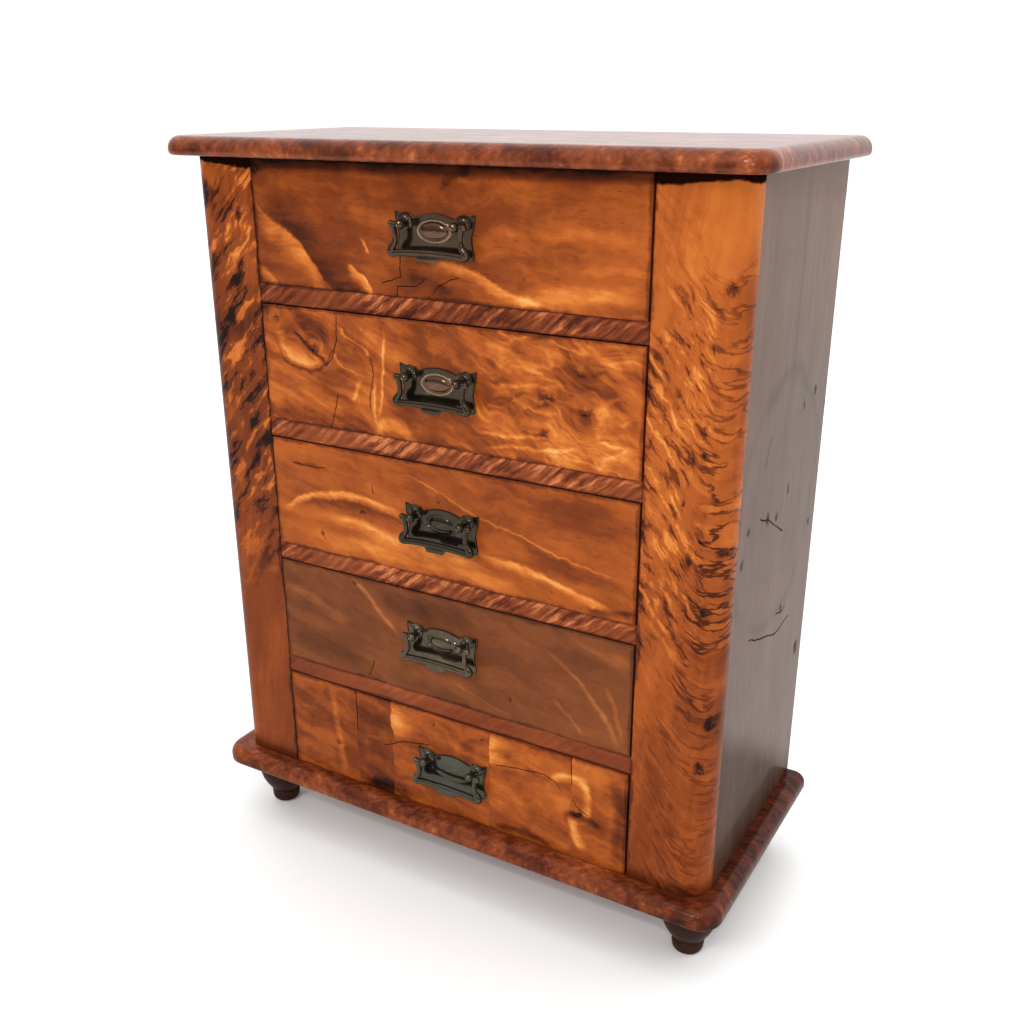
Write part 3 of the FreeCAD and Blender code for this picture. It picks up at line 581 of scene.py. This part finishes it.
def right_stile_light(graph, height, out, depth, clouds, bright, dark):
    """Fine flecks on the middle of the right corner board, and crescents down its rounded edge."""
    middle = height.span(150, 210) * height.span(420, 380)
    figured = clouds.span(0.36, 0.5) * (middle * 0.8 + 0.2) * out.span(50, 34)
    bow = graph.math("POWER", (out - 48) * (1 / 20), 2.0)
    curls = graph.together(height - bow * 10, out * 0.5, depth).noise((9, 24, 34), 3.0, 0.5)
    crescents = (curls - 0.53).size().span(0.045, 0.01) * clouds.span(0.3, 0.5)
    low_down = height.span(200, 110)
    strength = (height.span(350, 280) * 0.5 + 0.5) * (low_down * -0.65 + 1)
    rim = (out + low_down * 20).span(24, 40) * height.span(425, 408) * strength
    # Painted light: lighter towards the top, and brightest at the top of the outer part.
    tone = (height.span(385, 430) * out.span(12, 34) * 0.12
            + height.span(60, 330) * 0.15 + 0.46)
    flecks = (bright * 0.24 - dark * 0.34) * figured
    return flecks + ((curls - 0.5) * 0.55 - crescents * 0.36) * rim + tone


def stile_material(side):
    """A corner board of burr, with a painted shadow under the top board's overhang: a dark strip, left
    without polish, where it meets the top.
    """
    node = f"stile_{side}"
    sign = SIDES[side]
    low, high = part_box(node)
    inner_edge = low.x if sign > 0 else high.x
    graph = Graph(f"figured_{node}")
    start = Vector((inner_edge, FRONT_PLANE, low.z))
    place = board_place(graph, start, "+z", "+x" if sign > 0 else "-x", "+y")
    soft = place.warped((40, 5.0), (10, 2.2), (3, 0.8))
    height, out, depth = soft.apart()
    clouds = soft.noise((60, 26, 30))
    slant, lengths = STILE_FLECKS[side]
    flecks = soft.turned(slant).noise(lengths, 4.0, 0.62)
    dark = flecks.span(0.52, 0.64)
    bright = flecks.span(0.47, 0.36)
    if side == "left":
        figure = left_stile_light(height, out, clouds, bright, dark)
    else:
        figure = right_stile_light(graph, height, out, depth, clouds, bright, dark)
    light = grain_light(soft, Grain(6 * sign, 0.3, 0.2, 0.06, 0.07)) + figure
    light = light + streaks_light(soft, STILE_STREAKS[side])
    light = light - knots_mask(graph, soft, STILE_KNOTS[side]) * 0.4
    grime = height.span(14, 0) * 0.2 + out.span(1.6, 0) * 0.2
    # Painted shadow of the top board's overhang, left without polish so that it shows nearly black.
    overhang_shadow = height.span(457.5, 459.5)
    return polished(graph, (light - grime - overhang_shadow * 0.8).ramp(FLAME), dark * -0.012, overhang_shadow)


RAIL_TONE = {1: 0.58, 2: 0.7, 3: 0.68, 4: 0.64}
RAIL_STROKES = {1: 1.6, 2: 1.6, 3: 1.6, 4: 0.3}


def rail_material(rail):
    """Rail edge: dark red-brown with short slanting strokes; the lowest rail is plain."""
    node = f"rail_{rail}"
    graph = Graph(f"rail_wood_{rail}")
    place = board_place(graph, middle_of(node), "+x", "+z", "+y")
    soft = place.warped((30, 2.5), (7, 0.9))
    slanted = soft.turned(-38)
    strokes = slanted.noise((26, 4.0, 12), 4.0, 0.62)
    slim = slanted.noise((9, 1.0, 5))
    patches = soft.noise((50, 30, 30)).span(0.34, 0.6) * 0.9 + 0.4
    marks = ((strokes - 0.5) + (slim - 0.5) * 0.25) * RAIL_STROKES[rail]
    light = grain_light(soft, Grain(0, 0.5, 0.16, 0.08, 0.08)) + RAIL_TONE[rail] + marks * patches
    half = half_of(node)
    light = light - edge_grime(soft, half.x - 8, half.z, 1.6) * 0.22
    return polished(graph, light.ramp(RUSSET), strokes * 0.03)


BOARD_COAT = {"top": 0.5, "base": 0.25}


def moulded_board_material(board):
    """Top or base board: deep red-brown, mottled, with lighter chips and fine checks."""
    node = f"{board}_board"
    graph = Graph(f"moulded_{node}")
    half = half_of(node)
    place = board_place(graph, middle_of(node), "+x", "+y", "+z")
    soft = place.warped((50, 7), (12, 2.0), (3, 0.5))
    mottle = soft.turned(24).noise((26, 8, 16), 3.0, 0.6)
    figure = soft.turned(-30).noise((9, 2.6, 6))
    light = grain_light(soft, Grain(2, 0.5, 0.3, 0.1, 0.07)) + 0.6
    chips = soft.noise((7, 3, 3), 3.0, 0.6).span(0.62, 0.74)
    light = light + (mottle - 0.5) * 0.9 + (figure - 0.5) * 0.55 + chips * 0.22
    # Painted shade: the base board darkens towards its right end.
    if board == "base":
        along, _, _ = place.apart()
        light = light - along.span(half.x - 90, half.x - 8) * 0.26
    cracks = crack_mask(place.warped((6, 0.8)),
                        [[(half.x - 22, 52), (half.x - 8, 54), (half.x + 1, 53)],
                         [(half.x - 16, 70), (half.x - 4, 73), (half.x + 1, 73)]])
    colour = graph.mix(cracks, light.ramp(RUSSET), CRACK_COLOUR)
    return polished(graph, colour, cracks * -0.3 + mottle * 0.05, cracks, coat=BOARD_COAT[board])


# Dark streaks, knots and drying cracks of a side board, in millimetres up from its lower edge and
# back from the chest's front.
SIDE_STREAKS = [Streak(-0.3, 2.5, 2.5, [(282, 60), (306, 70)]),
                Streak(-0.12, 4, 4, [(464, 102), (300, 104)])]
SIDE_KNOTS = [(309, 136, 4), (314, 160, 5), (251, 36, 4), (214, 175, 4), (116, 173, 6), (165, 123, 5),
              (246, 76, 6), (244, 96, 4), (300, 183, 3), (232, 30, 4), (258, 118, 4)]
SIDE_CRACKS = [[(254, 58), (248, 76), (240, 90), (228, 112)],
               [(171, 54), (160, 84), (150, 116), (153, 147)],
               [(166, 112), (163, 128), (165, 134)]]


def side_material(side):
    """Side board: dull red-brown with a faint burr, dark knots and drying cracks in its middle."""
    node = f"side_{side}"
    low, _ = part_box(node)
    graph = Graph(f"side_wood_{side}")
    start = Vector((low.x, FRONT_PLANE, low.z))
    place = board_place(graph, start, "+z", "+y", "+x")
    soft = place.warped((60, 6), (14, 2.2), (3, 0.4))
    height, back, depth = soft.apart()
    wavy_height, wavy_back, _ = soft.warped((90, 22)).apart()
    oval = graph.length((wavy_height - 250) * 0.012, (wavy_back - 95) * 0.014, 0.0)
    rings = graph.together(oval * 60, back, depth).noise((5, 60, 60), 3.0)
    burr = oval.span(1.25, 0.7)
    light = grain_light(soft, Grain(1, 0.24, 0.3, 0.05, 0.06)) + 0.52
    rim = (oval - 1.05).size().span(0.1, 0.0) * soft.noise((40, 40, 40))
    light = light + (rings - 0.5) * burr * 0.14 - rim * 0.24
    # Painted reflection: darker low down, most towards the front, and lighter towards the top.
    low_down = (height + back * 0.62).span(142, 112)
    light = light - low_down * 0.16 + height.span(300, 440) * 0.14
    specks = knots_mask(graph, soft, SIDE_KNOTS)
    light = light - specks * 0.6 + streaks_light(soft, SIDE_STREAKS)
    cracks = crack_mask(place.warped((9, 1.5)), SIDE_CRACKS, 1.1)
    colour = graph.mix(cracks, light.ramp(PLAIN_SIDE), CRACK_COLOUR)
    bare = cracks.larger(specks * 0.8)
    # The coat is thinner in the same low strip, dimming the painted reflection there.
    return polished(graph, colour, cracks * -0.5, bare, roughness=0.42, coat=low_down * -0.26 + 0.34,
                    coat_ior=1.5)


def plain_wood_material(name, stops, along, across, depth):
    """Bare secondary wood with growth lines, saw marks and a little dirt."""
    graph = Graph(name)
    place = board_place(graph, (0, 0, 0), along, across, depth)
    soft = place.warped((70, 6), (16, 1.2))
    lines = soft.noise((240, 3.2, 3.2), 3.0, 0.6)
    dirt = place.noise((40, 40, 40), 4.0, 0.65)
    saw = place.noise((1.8, 60, 60))
    light = grain_light(soft, Grain(0, 0.3, 0.35, 0.04, 0.12)) + (lines - 0.5) * 0.5
    light = light + (dirt - 0.5) * 0.5 + (saw - 0.5) * 0.08 + 0.5
    relief = lines * 0.08 + saw * 0.04
    return graph.finish(relief, Base_Color=light.ramp(stops), Roughness=0.7)


def foot_material():
    """Turned feet: nearly black stain with browner grain and fine scratches."""
    graph = Graph("foot_wood")
    place = board_place(graph, (0, 0, 0), "+z", "+x", "+y")
    soft = place.warped((12, 1.2))
    light = grain_light(soft, Grain(0, 0.4, 0.3, 0.2, 0.1)) + 0.3
    scratches = place.noise((0.7, 14, 14))
    colour = light.ramp(STAINED_FOOT)
    return polished(graph, colour, scratches * 0.05, roughness=0.45)


def metal_material(name, hollows, proud_parts, roughness, metallic=0.85):
    """Old lacquered metal: darker in the hollows, rubbed brighter on the proud parts."""
    graph = Graph(name)
    place = graph.position().scaled(1 / MM)
    pointed = graph.wire(graph.node("ShaderNodeNewGeometry"), "Pointiness")
    patina = place.noise((9, 9, 9), 4.0, 0.6)
    grains = place.noise((0.6, 0.6, 0.6), 3.0)
    rubbed = (pointed + (patina - 0.5) * 0.1).span(0.52, 0.7)
    share = rubbed * 0.6 + patina.span(0.5, 0.8) * 0.12
    dull = (patina - 0.5) * 0.16 + roughness
    return graph.finish(patina * 0.05 + grains * 0.01, Base_Color=graph.mix(share, hollows, proud_parts),
                        Metallic=metallic, Roughness=dull)


def iron_material():
    """Cut iron nails with a little rust."""
    graph = Graph("iron_nail")
    place = graph.position().scaled(1 / MM)
    rust = place.noise((0.8, 0.8, 0.8), 4.0, 0.6)
    colour = graph.mix(rust.span(0.42, 0.6), srgb(64, 62, 60), srgb(98, 52, 30))
    return graph.finish(rust * 0.05, Base_Color=colour, Metallic=0.6, Roughness=0.6)


def dress(node, material):
    """Put a material in every slot of a CAD node."""
    thing = frame["nodes"][node]
    for material_slot in thing.material_slots:
        material_slot.material = material


def dress_cad_nodes():
    """Give every CAD node that stays in the picture its material."""
    lining = plain_wood_material("lining_wood", PALE_PINE, "+x", "+z", "+y")
    lining_deep = plain_wood_material("lining_wood_deep", PALE_PINE, "+y", "+z", "+x")
    back = plain_wood_material("back_wood", OLD_BACK, "+z", "+x", "+y")
    for drawer in DRAWERS:
        dress(f"drawer_{drawer}_front", drawer_front_material(drawer))
        dress(f"drawer_{drawer}_back", lining)
        dress(f"drawer_{drawer}_bottom", lining)
        for side in SIDES:
            dress(f"drawer_{drawer}_side_{side}", lining_deep)
    for rail in RAILS:
        dress(f"rail_{rail}", rail_material(rail))
    for side in SIDES:
        dress(f"stile_{side}", stile_material(side))
        dress(f"side_{side}", side_material(side))
    for board in ("top", "base"):
        dress(f"{board}_board", moulded_board_material(board))
    dress("back_panel", back)
    dress("back_panel_nails", iron_material())
    for node in ("drawer_runners", "drawer_guides", "drawer_stops"):
        dress(node, lining_deep)


# ---------------------------------------------------------------- meshes


class Shell:
    """Vertices and faces gathered for one mesh, in metres."""

    def __init__(self):
        self.vertices = []
        self.faces = []

    def skin(self, rings, capped=True):
        """Join rings that hold the same number of points; capped closes the first and last."""
        start = len(self.vertices)
        count = len(rings[0])
        for ring in rings:
            self.vertices += ring
        for level in range(len(rings) - 1):
            base = start + level * count
            for index in range(count):
                following = (index + 1) % count
                self.faces.append((base + index, base + following,
                                   base + count + following, base + count + index))
        if capped:
            last = start + (len(rings) - 1) * count
            self.faces.append(tuple(range(start + count - 1, start - 1, -1)))
            self.faces.append(tuple(range(last, last + count)))

    def fan(self, ring, centre):
        """Close a hollow outline with triangles from centre, a point in sight of the whole ring."""
        start = len(self.vertices)
        count = len(ring)
        self.vertices += [*ring, centre]
        for index in range(count):
            self.faces.append((start + index, start + (index + 1) % count, start + count))

    def piece(self, name, material, body, slot, sharp_degrees, *replaced):
        """Make the object, which rides on a body and stands for CAD nodes."""
        mesh = bpy.data.meshes.new(name)
        mesh.from_pydata(self.vertices, [], self.faces)
        mesh.materials.append(material)
        mesh.shade_smooth()
        mesh.set_sharp_from_angle(angle=math.radians(sharp_degrees))
        thing = bpy.data.objects.new(name, mesh)
        bpy.context.scene.collection.objects.link(thing)
        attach(thing, body)
        if replaced:
            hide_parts(*replaced)
        return thing


def circle(centre, radius, first, second, sides, flat=1.0):
    """Points round centre, from the direction first towards second."""
    points = []
    for step in range(sides):
        angle = math.tau * step / sides
        points.append(centre + first * (radius * math.cos(angle))
                      + second * (radius * flat * math.sin(angle)))
    return points


def smooth_run(points, steps):
    """A smooth line through tuples of numbers, with steps points for each gap."""
    run = []
    for index in range(len(points) - 1):
        before = points[max(index - 1, 0)]
        start, end = points[index], points[index + 1]
        after = points[min(index + 2, len(points) - 1)]
        for step in range(steps):
            share = step / steps
            run.append(tuple(
                0.5 * (2 * b + (c - a) * share + (2 * a - 5 * b + 4 * c - d) * share ** 2
                       + (3 * b - a - 3 * c + d) * share ** 3)
                for a, b, c, d in zip(before, start, end, after)))
    run.append(points[-1])
    return run


OUT = Vector((0, -1, 0))
ACROSS = Vector((1, 0, 0))
UP = Vector((0, 0, 1))


def lathe(shell, foot, axis, first, second, profile, sides):
    """Turn a profile of radius and height, in millimetres, about an axis through foot."""
    shell.skin([circle(foot + axis * (height * MM), max(radius, 0.01) * MM, first, second, sides)
                for radius, height in profile])


# Handle sizes in millimetres from the middle of the plate; heights stand out from the drawer front.
PLATE_ARCH_TOP = 11.4
PLATE_ARCH_HALF = 15.0
PLATE_ARCH_FOOT = 8.0
PLATE_HALF_WIDTH = 29.5
PLATE_FAN_HEIGHT = -14.0
BOSS_HALF = (11.9, 6.6)
BOSS_LIFT = 0.6
ROSETTE_PLACE = (21.4, 6.6)
POST_HALF_SPACING = 19.6
BEAD_COUNT = 40


def arc_points(half, foot, top, steps):
    """Points on the right half of a low arch, from its crown to its foot."""
    rise = top - foot
    radius = (half * half + rise * rise) / (2 * rise)
    reach = math.asin(half / radius)
    angles = [reach * step / steps for step in range(steps + 1)]
    return [(radius * math.sin(angle), top - radius + radius * math.cos(angle)) for angle in angles]


def rounded_corners(corners, steps=5):
    """An outline whose corners, each across, up and radius, are rounded off."""
    points = []
    for index, (across, up, radius) in enumerate(corners):
        here = Vector((across, up))
        before = Vector(corners[index - 1][:2]) - here
        after = Vector(corners[(index + 1) % len(corners)][:2]) - here
        reach = min(radius, 0.45 * before.length, 0.45 * after.length)
        start = here + before.normalized() * reach
        end = here + after.normalized() * reach
        for step in range(steps + 1):
            share = step / steps
            points.append(start.lerp(here, share).lerp(here.lerp(end, share), share))
    return points


def inset(outline, distance):
    """An outline of 2-D points moved inwards; the outline runs clockwise."""
    moved = []
    for index, point in enumerate(outline):
        along = (outline[(index + 1) % len(outline)] - outline[index - 1]).normalized()
        moved.append(point + Vector((along.y, -along.x)) * distance)
    return moved


def plate_outline():
    """The stamped plate's outline, clockwise from the crown of its arch."""
    crown = arc_points(PLATE_ARCH_HALF, PLATE_ARCH_FOOT, PLATE_ARCH_TOP, 6)
    right = [(across, up, 0.6) for across, up in crown[:-1]] + [
        (15.0, 8.2, 0.8), (16.6, 10.4, 1.0), (24.5, 10.4, 3.0), (PLATE_HALF_WIDTH, 12.0, 0.9),
        (28.9, 4.5, 3.0), (26.4, -2.0, 6.0), (28.4, -12.4, 3.0), (28.0, -15.9, 1.2)]
    corners = right + [(-across, up, radius) for across, up, radius in reversed(right) if across > 0]
    return rounded_corners(corners)


def handle_middle(drawer):
    """The middle of a handle's plate on the drawer front."""
    low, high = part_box(f"drawer_{drawer}_handle_plate")
    return Vector(((low.x + high.x) / 2, FRONT_PLANE, low.z + 16.0 * MM))


def pivot_of(drawer):
    """The middle of the line about which a drawer's bail swings."""
    joint = next(joint for joint in frame["joints"] if joint["name"] == f"bail_{drawer}_swing")
    return Vector(joint["pos_m"])


# The boss of each plate, as rings from its rim to its crown: share of its half size, and height.
BEADED_BOSS = [(1.1, 0.0), (1.05, 0.3), (0.94, 0.28), (0.86, 0.3), (0.81, 1.0), (0.73, 1.6), (0.6, 2.0),
               (0.42, 2.25), (0.2, 2.38), (0.02, 2.42)]
RINGED_BOSS = [(1.1, 0.0), (1.04, 0.55), (0.97, 0.6), (0.92, 0.15), (0.84, 0.2), (0.74, 0.85),
               (0.5, 1.4), (0.24, 1.65), (0.02, 1.7)]
PLAIN_BOSS = [(1.5, 0.0), (1.3, 0.25), (1.05, 0.8), (0.75, 1.3), (0.4, 1.62), (0.02, 1.72)]
BOSS_OF = {1: BEADED_BOSS, 2: BEADED_BOSS, 3: RINGED_BOSS, 4: RINGED_BOSS, 5: PLAIN_BOSS}
BEADED = (1, 2)
BEAD_PROFILE = [(0.34, -0.3), (0.38, 0.15), (0.3, 0.45), (0.08, 0.58)]

# The plate's thickness and rolled border, as rings: distance inside its outline, and height.
PLATE_RINGS = [(0, 0), (0, 0.8), (0.15, 1.1), (0.4, 1.22), (0.62, 1.1), (0.72, 0.85)]
PLATE_FACE = PLATE_RINGS[-1][1]


def add_plate(drawer, material):
    """The stamped plate with its rolled border."""
    middle = handle_middle(drawer)
    outline = plate_outline()
    fan_point = middle + UP * (PLATE_FAN_HEIGHT * MM)
    rings = [[middle + ACROSS * (point.x * MM) + UP * (point.y * MM) + OUT * (height * MM)
              for point in inset(outline, distance)]
             for distance, height in PLATE_RINGS]
    shell = Shell()
    shell.skin(rings, capped=False)
    shell.fan(rings[0][::-1], fan_point)
    shell.fan(rings[-1], fan_point + OUT * (PLATE_FACE * MM))
    shell.piece(f"drawer_{drawer}_plate", material, f"drawer_{drawer}", "handle_bronze", 35,
                f"drawer_{drawer}_handle_plate")


def boss_ring(drawer, share, height, sides):
    """Points round the boss of a plate, at a share of its half size."""
    half_width, half_height = BOSS_HALF
    centre = handle_middle(drawer) + UP * (BOSS_LIFT * MM) + OUT * ((PLATE_FACE + height) * MM)
    return circle(centre, share * half_width * MM, ACROSS, -UP, sides, half_height / half_width)


def add_boss(drawer, material, bead_material):
    """The domed boss on a plate and, on some, the ring of beads round it."""
    dome = Shell()
    dome.skin([boss_ring(drawer, share, height, 56) for share, height in BOSS_OF[drawer]])
    dome.piece(f"drawer_{drawer}_boss", material, f"drawer_{drawer}", "handle_bronze", 35)
    if drawer in BEADED:
        beads = Shell()
        for centre in boss_ring(drawer, 1.0, 0.3, BEAD_COUNT):
            lathe(beads, centre, OUT, ACROSS, -UP, BEAD_PROFILE, 8)
        beads.piece(f"drawer_{drawer}_beads", bead_material, f"drawer_{drawer}", "handle_bronze", 60)


ROSETTE_PROFILE = [(4.7, 0.6), (4.8, 1.3), (4.5, 1.7), (4.0, 1.75), (3.7, 2.1), (3.2, 2.75), (2.2, 3.25),
                   (1.0, 3.5), (0.05, 3.55)]
BALL_RADIUS = 3.15
BALL_STEPS = 14
NUT_PROFILE = [(4.8, 0.0), (4.8, 2.0), (4.3, 2.4)]
SCREW_PROFILE = [(1.5, 2.2), (1.5, 3.7), (1.1, 4.0)]


def add_posts(drawer, material):
    """Two rosettes, each with a short neck that drops to the ball which holds the bail."""
    pivot = pivot_of(drawer)
    middle = handle_middle(drawer)
    reach = (FRONT_PLANE - pivot.y) / MM
    nut_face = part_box(f"drawer_{drawer}_front")[1].y
    angles = [math.pi * step / BALL_STEPS for step in range(BALL_STEPS + 1)]
    ball_profile = [(BALL_RADIUS * math.sin(angle), reach - BALL_RADIUS * math.cos(angle))
                    for angle in angles]
    neck_profile = [(3.8, 0.9), (3.7, 1.7), (2.6, 2.3), (2.0, 3.2), (1.8, 4.6), (2.0, 6.0), (2.2, reach)]
    shell = Shell()
    for sign in SIDES.values():
        ball = pivot + ACROSS * (sign * POST_HALF_SPACING * MM)
        rosette = middle + ACROSS * (sign * ROSETTE_PLACE[0] * MM) + UP * (ROSETTE_PLACE[1] * MM)
        foot = Vector((ball.x, FRONT_PLANE, ball.z))
        nut = Vector((ball.x, nut_face, ball.z))
        lathe(shell, rosette, OUT, ACROSS, -UP, ROSETTE_PROFILE, 32)
        lathe(shell, foot, OUT, ACROSS, -UP, ball_profile, 28)
        lathe(shell, foot, OUT, ACROSS, -UP, neck_profile, 24)
        lathe(shell, nut, -OUT, ACROSS, UP, NUT_PROFILE, 4)
        lathe(shell, nut, -OUT, ACROSS, UP, SCREW_PROFILE, 16)
    shell.piece(f"drawer_{drawer}_posts", material, f"drawer_{drawer}", "handle_bronze", 40,
                f"drawer_{drawer}_handle_posts")


# The right half of a bail, from the eye down: across, up from the pivot, radius and forward reach.
BAIL_ARM = [(24.8, 1.9, 0.3, 0), (24.8, 1.5, 1.3, 0), (24.75, 0.3, 2.0, 0), (24.6, -1.8, 1.95, 0),
            (24.1, -4.6, 1.75, 0), (23.8, -7.6, 1.7, -0.1), (24.1, -10.4, 1.85, -0.2),
            (25.2, -12.6, 2.15, -0.3), (26.6, -14.4, 2.55, -0.4), (27.3, -16.4, 2.8, -0.4),
            (26.2, -17.6, 2.65, -0.5), (23.0, -17.4, 2.35, -0.5), (17.0, -16.9, 2.25, -0.5),
            (9.0, -16.6, 2.35, -0.5), (0.0, -16.5, 2.4, -0.5)]
PIN_TIP = 28.4
PIN_END = [(0.05, 0.0), (1.3, 0.2), (2.0, 0.9), (2.15, 1.8), (1.95, 2.7), (1.4, 3.3), (1.2, 3.9),
           (1.2, 8.6), (0.9, 8.8)]
# The finger lip under the bar, as levels: up from the pivot, half width, inner and outer reach.
LIP_LEVELS = [(-15.6, 7.8, -1.9, 0.9), (-18.0, 8.2, -1.5, 1.6), (-19.6, 8.0, -0.8, 1.9),
              (-20.9, 7.2, 0.0, 1.9), (-21.5, 6.6, 0.5, 1.5)]


def lip_ring(pivot, level):
    """Points round the finger lip at one level, with rounded ends."""
    up, half, inner, outer = level
    middle = (inner + outer) / 2
    return [pivot + UP * (up * MM)
            + ACROSS * (half * MM * math.copysign(abs(math.cos(angle)) ** 0.35, math.cos(angle)))
            + OUT * ((middle + (outer - inner) / 2 * math.sin(angle)) * MM)
            for angle in (math.tau * step / 40 for step in range(40))]


def add_bail(drawer, material):
    """The swinging bail: two pins with small balls, two arms, the bar and the finger lip under it."""
    pivot = pivot_of(drawer)
    arms = smooth_run(BAIL_ARM, 4)
    path = arms + [(-across, up, radius, forward) for across, up, radius, forward in reversed(arms[:-1])]
    rings = []
    for index, (across, up, radius, forward) in enumerate(path):
        before = path[max(index - 1, 0)]
        after = path[min(index + 1, len(path) - 1)]
        along = Vector((after[0] - before[0], 0, after[1] - before[1])).normalized()
        centre = pivot + ACROSS * (across * MM) + UP * (up * MM) + OUT * (forward * MM)
        rings.append(circle(centre, radius * MM, along.cross(OUT), OUT, 20))
    shell = Shell()
    shell.skin(rings)
    for sign in SIDES.values():
        tip = pivot + ACROSS * (sign * PIN_TIP * MM)
        lathe(shell, tip, ACROSS * -sign, OUT * sign, UP, PIN_END, 20)
    shell.skin([lip_ring(pivot, level) for level in LIP_LEVELS])
    shell.piece(f"drawer_{drawer}_pull", material, f"bail_{drawer}", "handle_bronze", 50,
                f"drawer_{drawer}_bail")


# A foot's turned profile from the floor up, as radius and height in millimetres: the pad, the
# swelling bun, then the collar and the spigot.
FOOT_PAD = [(0.05, 0.0), (6.0, 0.0), (9.2, 0.8), (10.8, 2.6), (11.3, 5.4), (11.4, 8.4)]
FOOT_BUN = [(10.9, 9.5), (10.3, 10.1), (11.0, 10.8), (12.4, 12.6), (14.8, 16.4), (17.6, 21.4),
            (19.4, 27.0), (19.8, 31.5), (18.8, 36.0), (16.6, 39.4), (14.6, 41.2)]
FOOT_COLLAR = [(14.0, 41.6), (14.4, 42.2), (15.2, 43.4), (15.2, 45.6), (14.4, 47.2), (13.8, 48.0)]
FOOT_SPIGOT = [(5.9, 48.0), (5.9, 56.5), (0.05, 56.5)]
FOOT_PROFILE = smooth_run(FOOT_PAD, 3) + smooth_run(FOOT_BUN, 3) + FOOT_COLLAR + FOOT_SPIGOT


def add_feet(material):
    """Four turned feet."""
    for end in ("front", "back"):
        for side in SIDES:
            node = f"foot_{end}_{side}"
            middle = middle_of(node)
            shell = Shell()
            lathe(shell, Vector((middle.x, middle.y, FLOOR_PLANE)), UP, ACROSS, -OUT, FOOT_PROFILE, 56)
            shell.piece(f"turned_{node}", material, "carcass", "foot_wood", 40, node)


# The metal of each handle, in its hollows and on its proud parts.
BRONZE_HUES = {1: ((68, 55, 42), (158, 134, 110)), 2: ((58, 49, 38), (146, 128, 104)),
               3: ((53, 47, 38), (136, 124, 104)), 4: ((74, 66, 52), (168, 152, 124)),
               5: ((68, 68, 58), (116, 116, 100))}


def add_handles():
    """The pull of every drawer: plate, boss, posts and bail."""
    copper = metal_material("worn_copper", srgb(92, 66, 50), srgb(190, 150, 122), 0.1)
    bead_metal = metal_material("bright_beads", srgb(210, 190, 158), srgb(244, 230, 204), 0.35, 0.5)
    for drawer in DRAWERS:
        hollows, proud_parts = BRONZE_HUES[drawer]
        bronze = metal_material(f"handle_bronze_{drawer}", srgb(*hollows), srgb(*proud_parts), 0.14)
        add_plate(drawer, bronze)
        add_boss(drawer, copper if drawer in BEADED else bronze, bead_metal)
        add_posts(drawer, bronze)
        add_bail(drawer, bronze)


# ---------------------------------------------------------------- stage


CAMERA_PLACE = Vector((0.4011, -0.6828, 0.5671))
CAMERA_AZIMUTH = 30.62
CAMERA_DOWN = 21.47
CAMERA_ROLL = -0.21
CAMERA_LENS = 40.04
CAMERA_SHIFT = (0.0089, 0.0234)
FLOOR_REACH = 6.0
FLOOR_SIDES = 96
# How bright the surroundings are level with the floor, before and behind the chest, and how much
# more they gain overhead.
WORLD_BEFORE = 0.3
WORLD_BEHIND = 1.15
WORLD_OVERHEAD = 1.1
# Each light's place, size and power.
KEY = ((-0.2, -2.1, 1.85), 0.6, 20)
FLASH = (CAMERA_PLACE + Vector((0.02, 0.0, 0.1)), 0.025, 0.9)


def add_camera():
    """A camera a little above the top board, looking down at the right front corner."""
    data = bpy.data.cameras.new("camera")
    data.lens = CAMERA_LENS
    data.shift_x, data.shift_y = CAMERA_SHIFT
    camera = bpy.data.objects.new("camera", data)
    turn = (Matrix.Rotation(math.radians(CAMERA_AZIMUTH), 4, "Z")
            @ Matrix.Rotation(math.radians(90 - CAMERA_DOWN), 4, "X")
            @ Matrix.Rotation(math.radians(CAMERA_ROLL), 4, "Z"))
    camera.matrix_world = Matrix.Translation(CAMERA_PLACE) @ turn
    bpy.context.scene.collection.objects.link(camera)
    bpy.context.scene.camera = camera


def add_floor():
    """A plain pale floor."""
    graph = Graph("pale_floor")
    mottle = graph.position().noise((0.4, 0.4, 0.4), 3.0)
    colour = graph.mix(mottle, srgb(238, 238, 236), srgb(244, 244, 243))
    material = graph.finish(mottle * 0.1, Base_Color=colour, Roughness=0.85)
    rim = circle(Vector((0, 0, FLOOR_PLANE)), FLOOR_REACH, ACROSS, -OUT, FLOOR_SIDES)
    mesh = bpy.data.meshes.new("floor")
    mesh.from_pydata(rim, [], [tuple(range(FLOOR_SIDES))])
    mesh.materials.append(material)
    floor = bpy.data.objects.new("floor", mesh)
    bpy.context.scene.collection.objects.link(floor)


def add_world():
    """Soft white surroundings, brightest overhead and dimmest on the side that the drawers face."""
    graph = Graph("studio", bpy.data.worlds, "Background")
    _, behind, above = graph.wire(graph.node("ShaderNodeTexCoord")).apart()
    level = graph.wire(graph.node("ShaderNodeMapRange", {
        "Value": behind, "From Min": -0.5, "From Max": 0.5,
        "To Min": WORLD_BEFORE, "To Max": WORLD_BEHIND}))
    graph.plug(graph.shader.inputs["Strength"], above * WORLD_OVERHEAD + level)
    graph.plug(graph.shader.inputs["Color"], (1, 1, 1, 1))
    bpy.context.scene.world = graph.owner


def add_softbox(name, target, place, size, power):
    """An area light that faces target."""
    data = bpy.data.lights.new(name, "AREA")
    data.shape = "SQUARE"
    data.size = size
    data.energy = power
    light = bpy.data.objects.new(name, data)
    direction = Vector(target) - Vector(place)
    light.matrix_world = (Matrix.Translation(place)
                          @ direction.to_track_quat("-Z", "Y").to_matrix().to_4x4())
    bpy.context.scene.collection.objects.link(light)


def add_lights():
    """A key high in front of the drawers, and a small flash beside the camera."""
    middle = (cad_box[0] + cad_box[1]) / 2
    add_softbox("key", middle, *KEY)
    add_softbox("flash", middle, *FLASH)


dress_cad_nodes()
add_handles()
add_feet(foot_material())
add_floor()
add_world()
add_lights()
add_camera()
bpy.context.scene.view_settings.view_transform = "Standard"
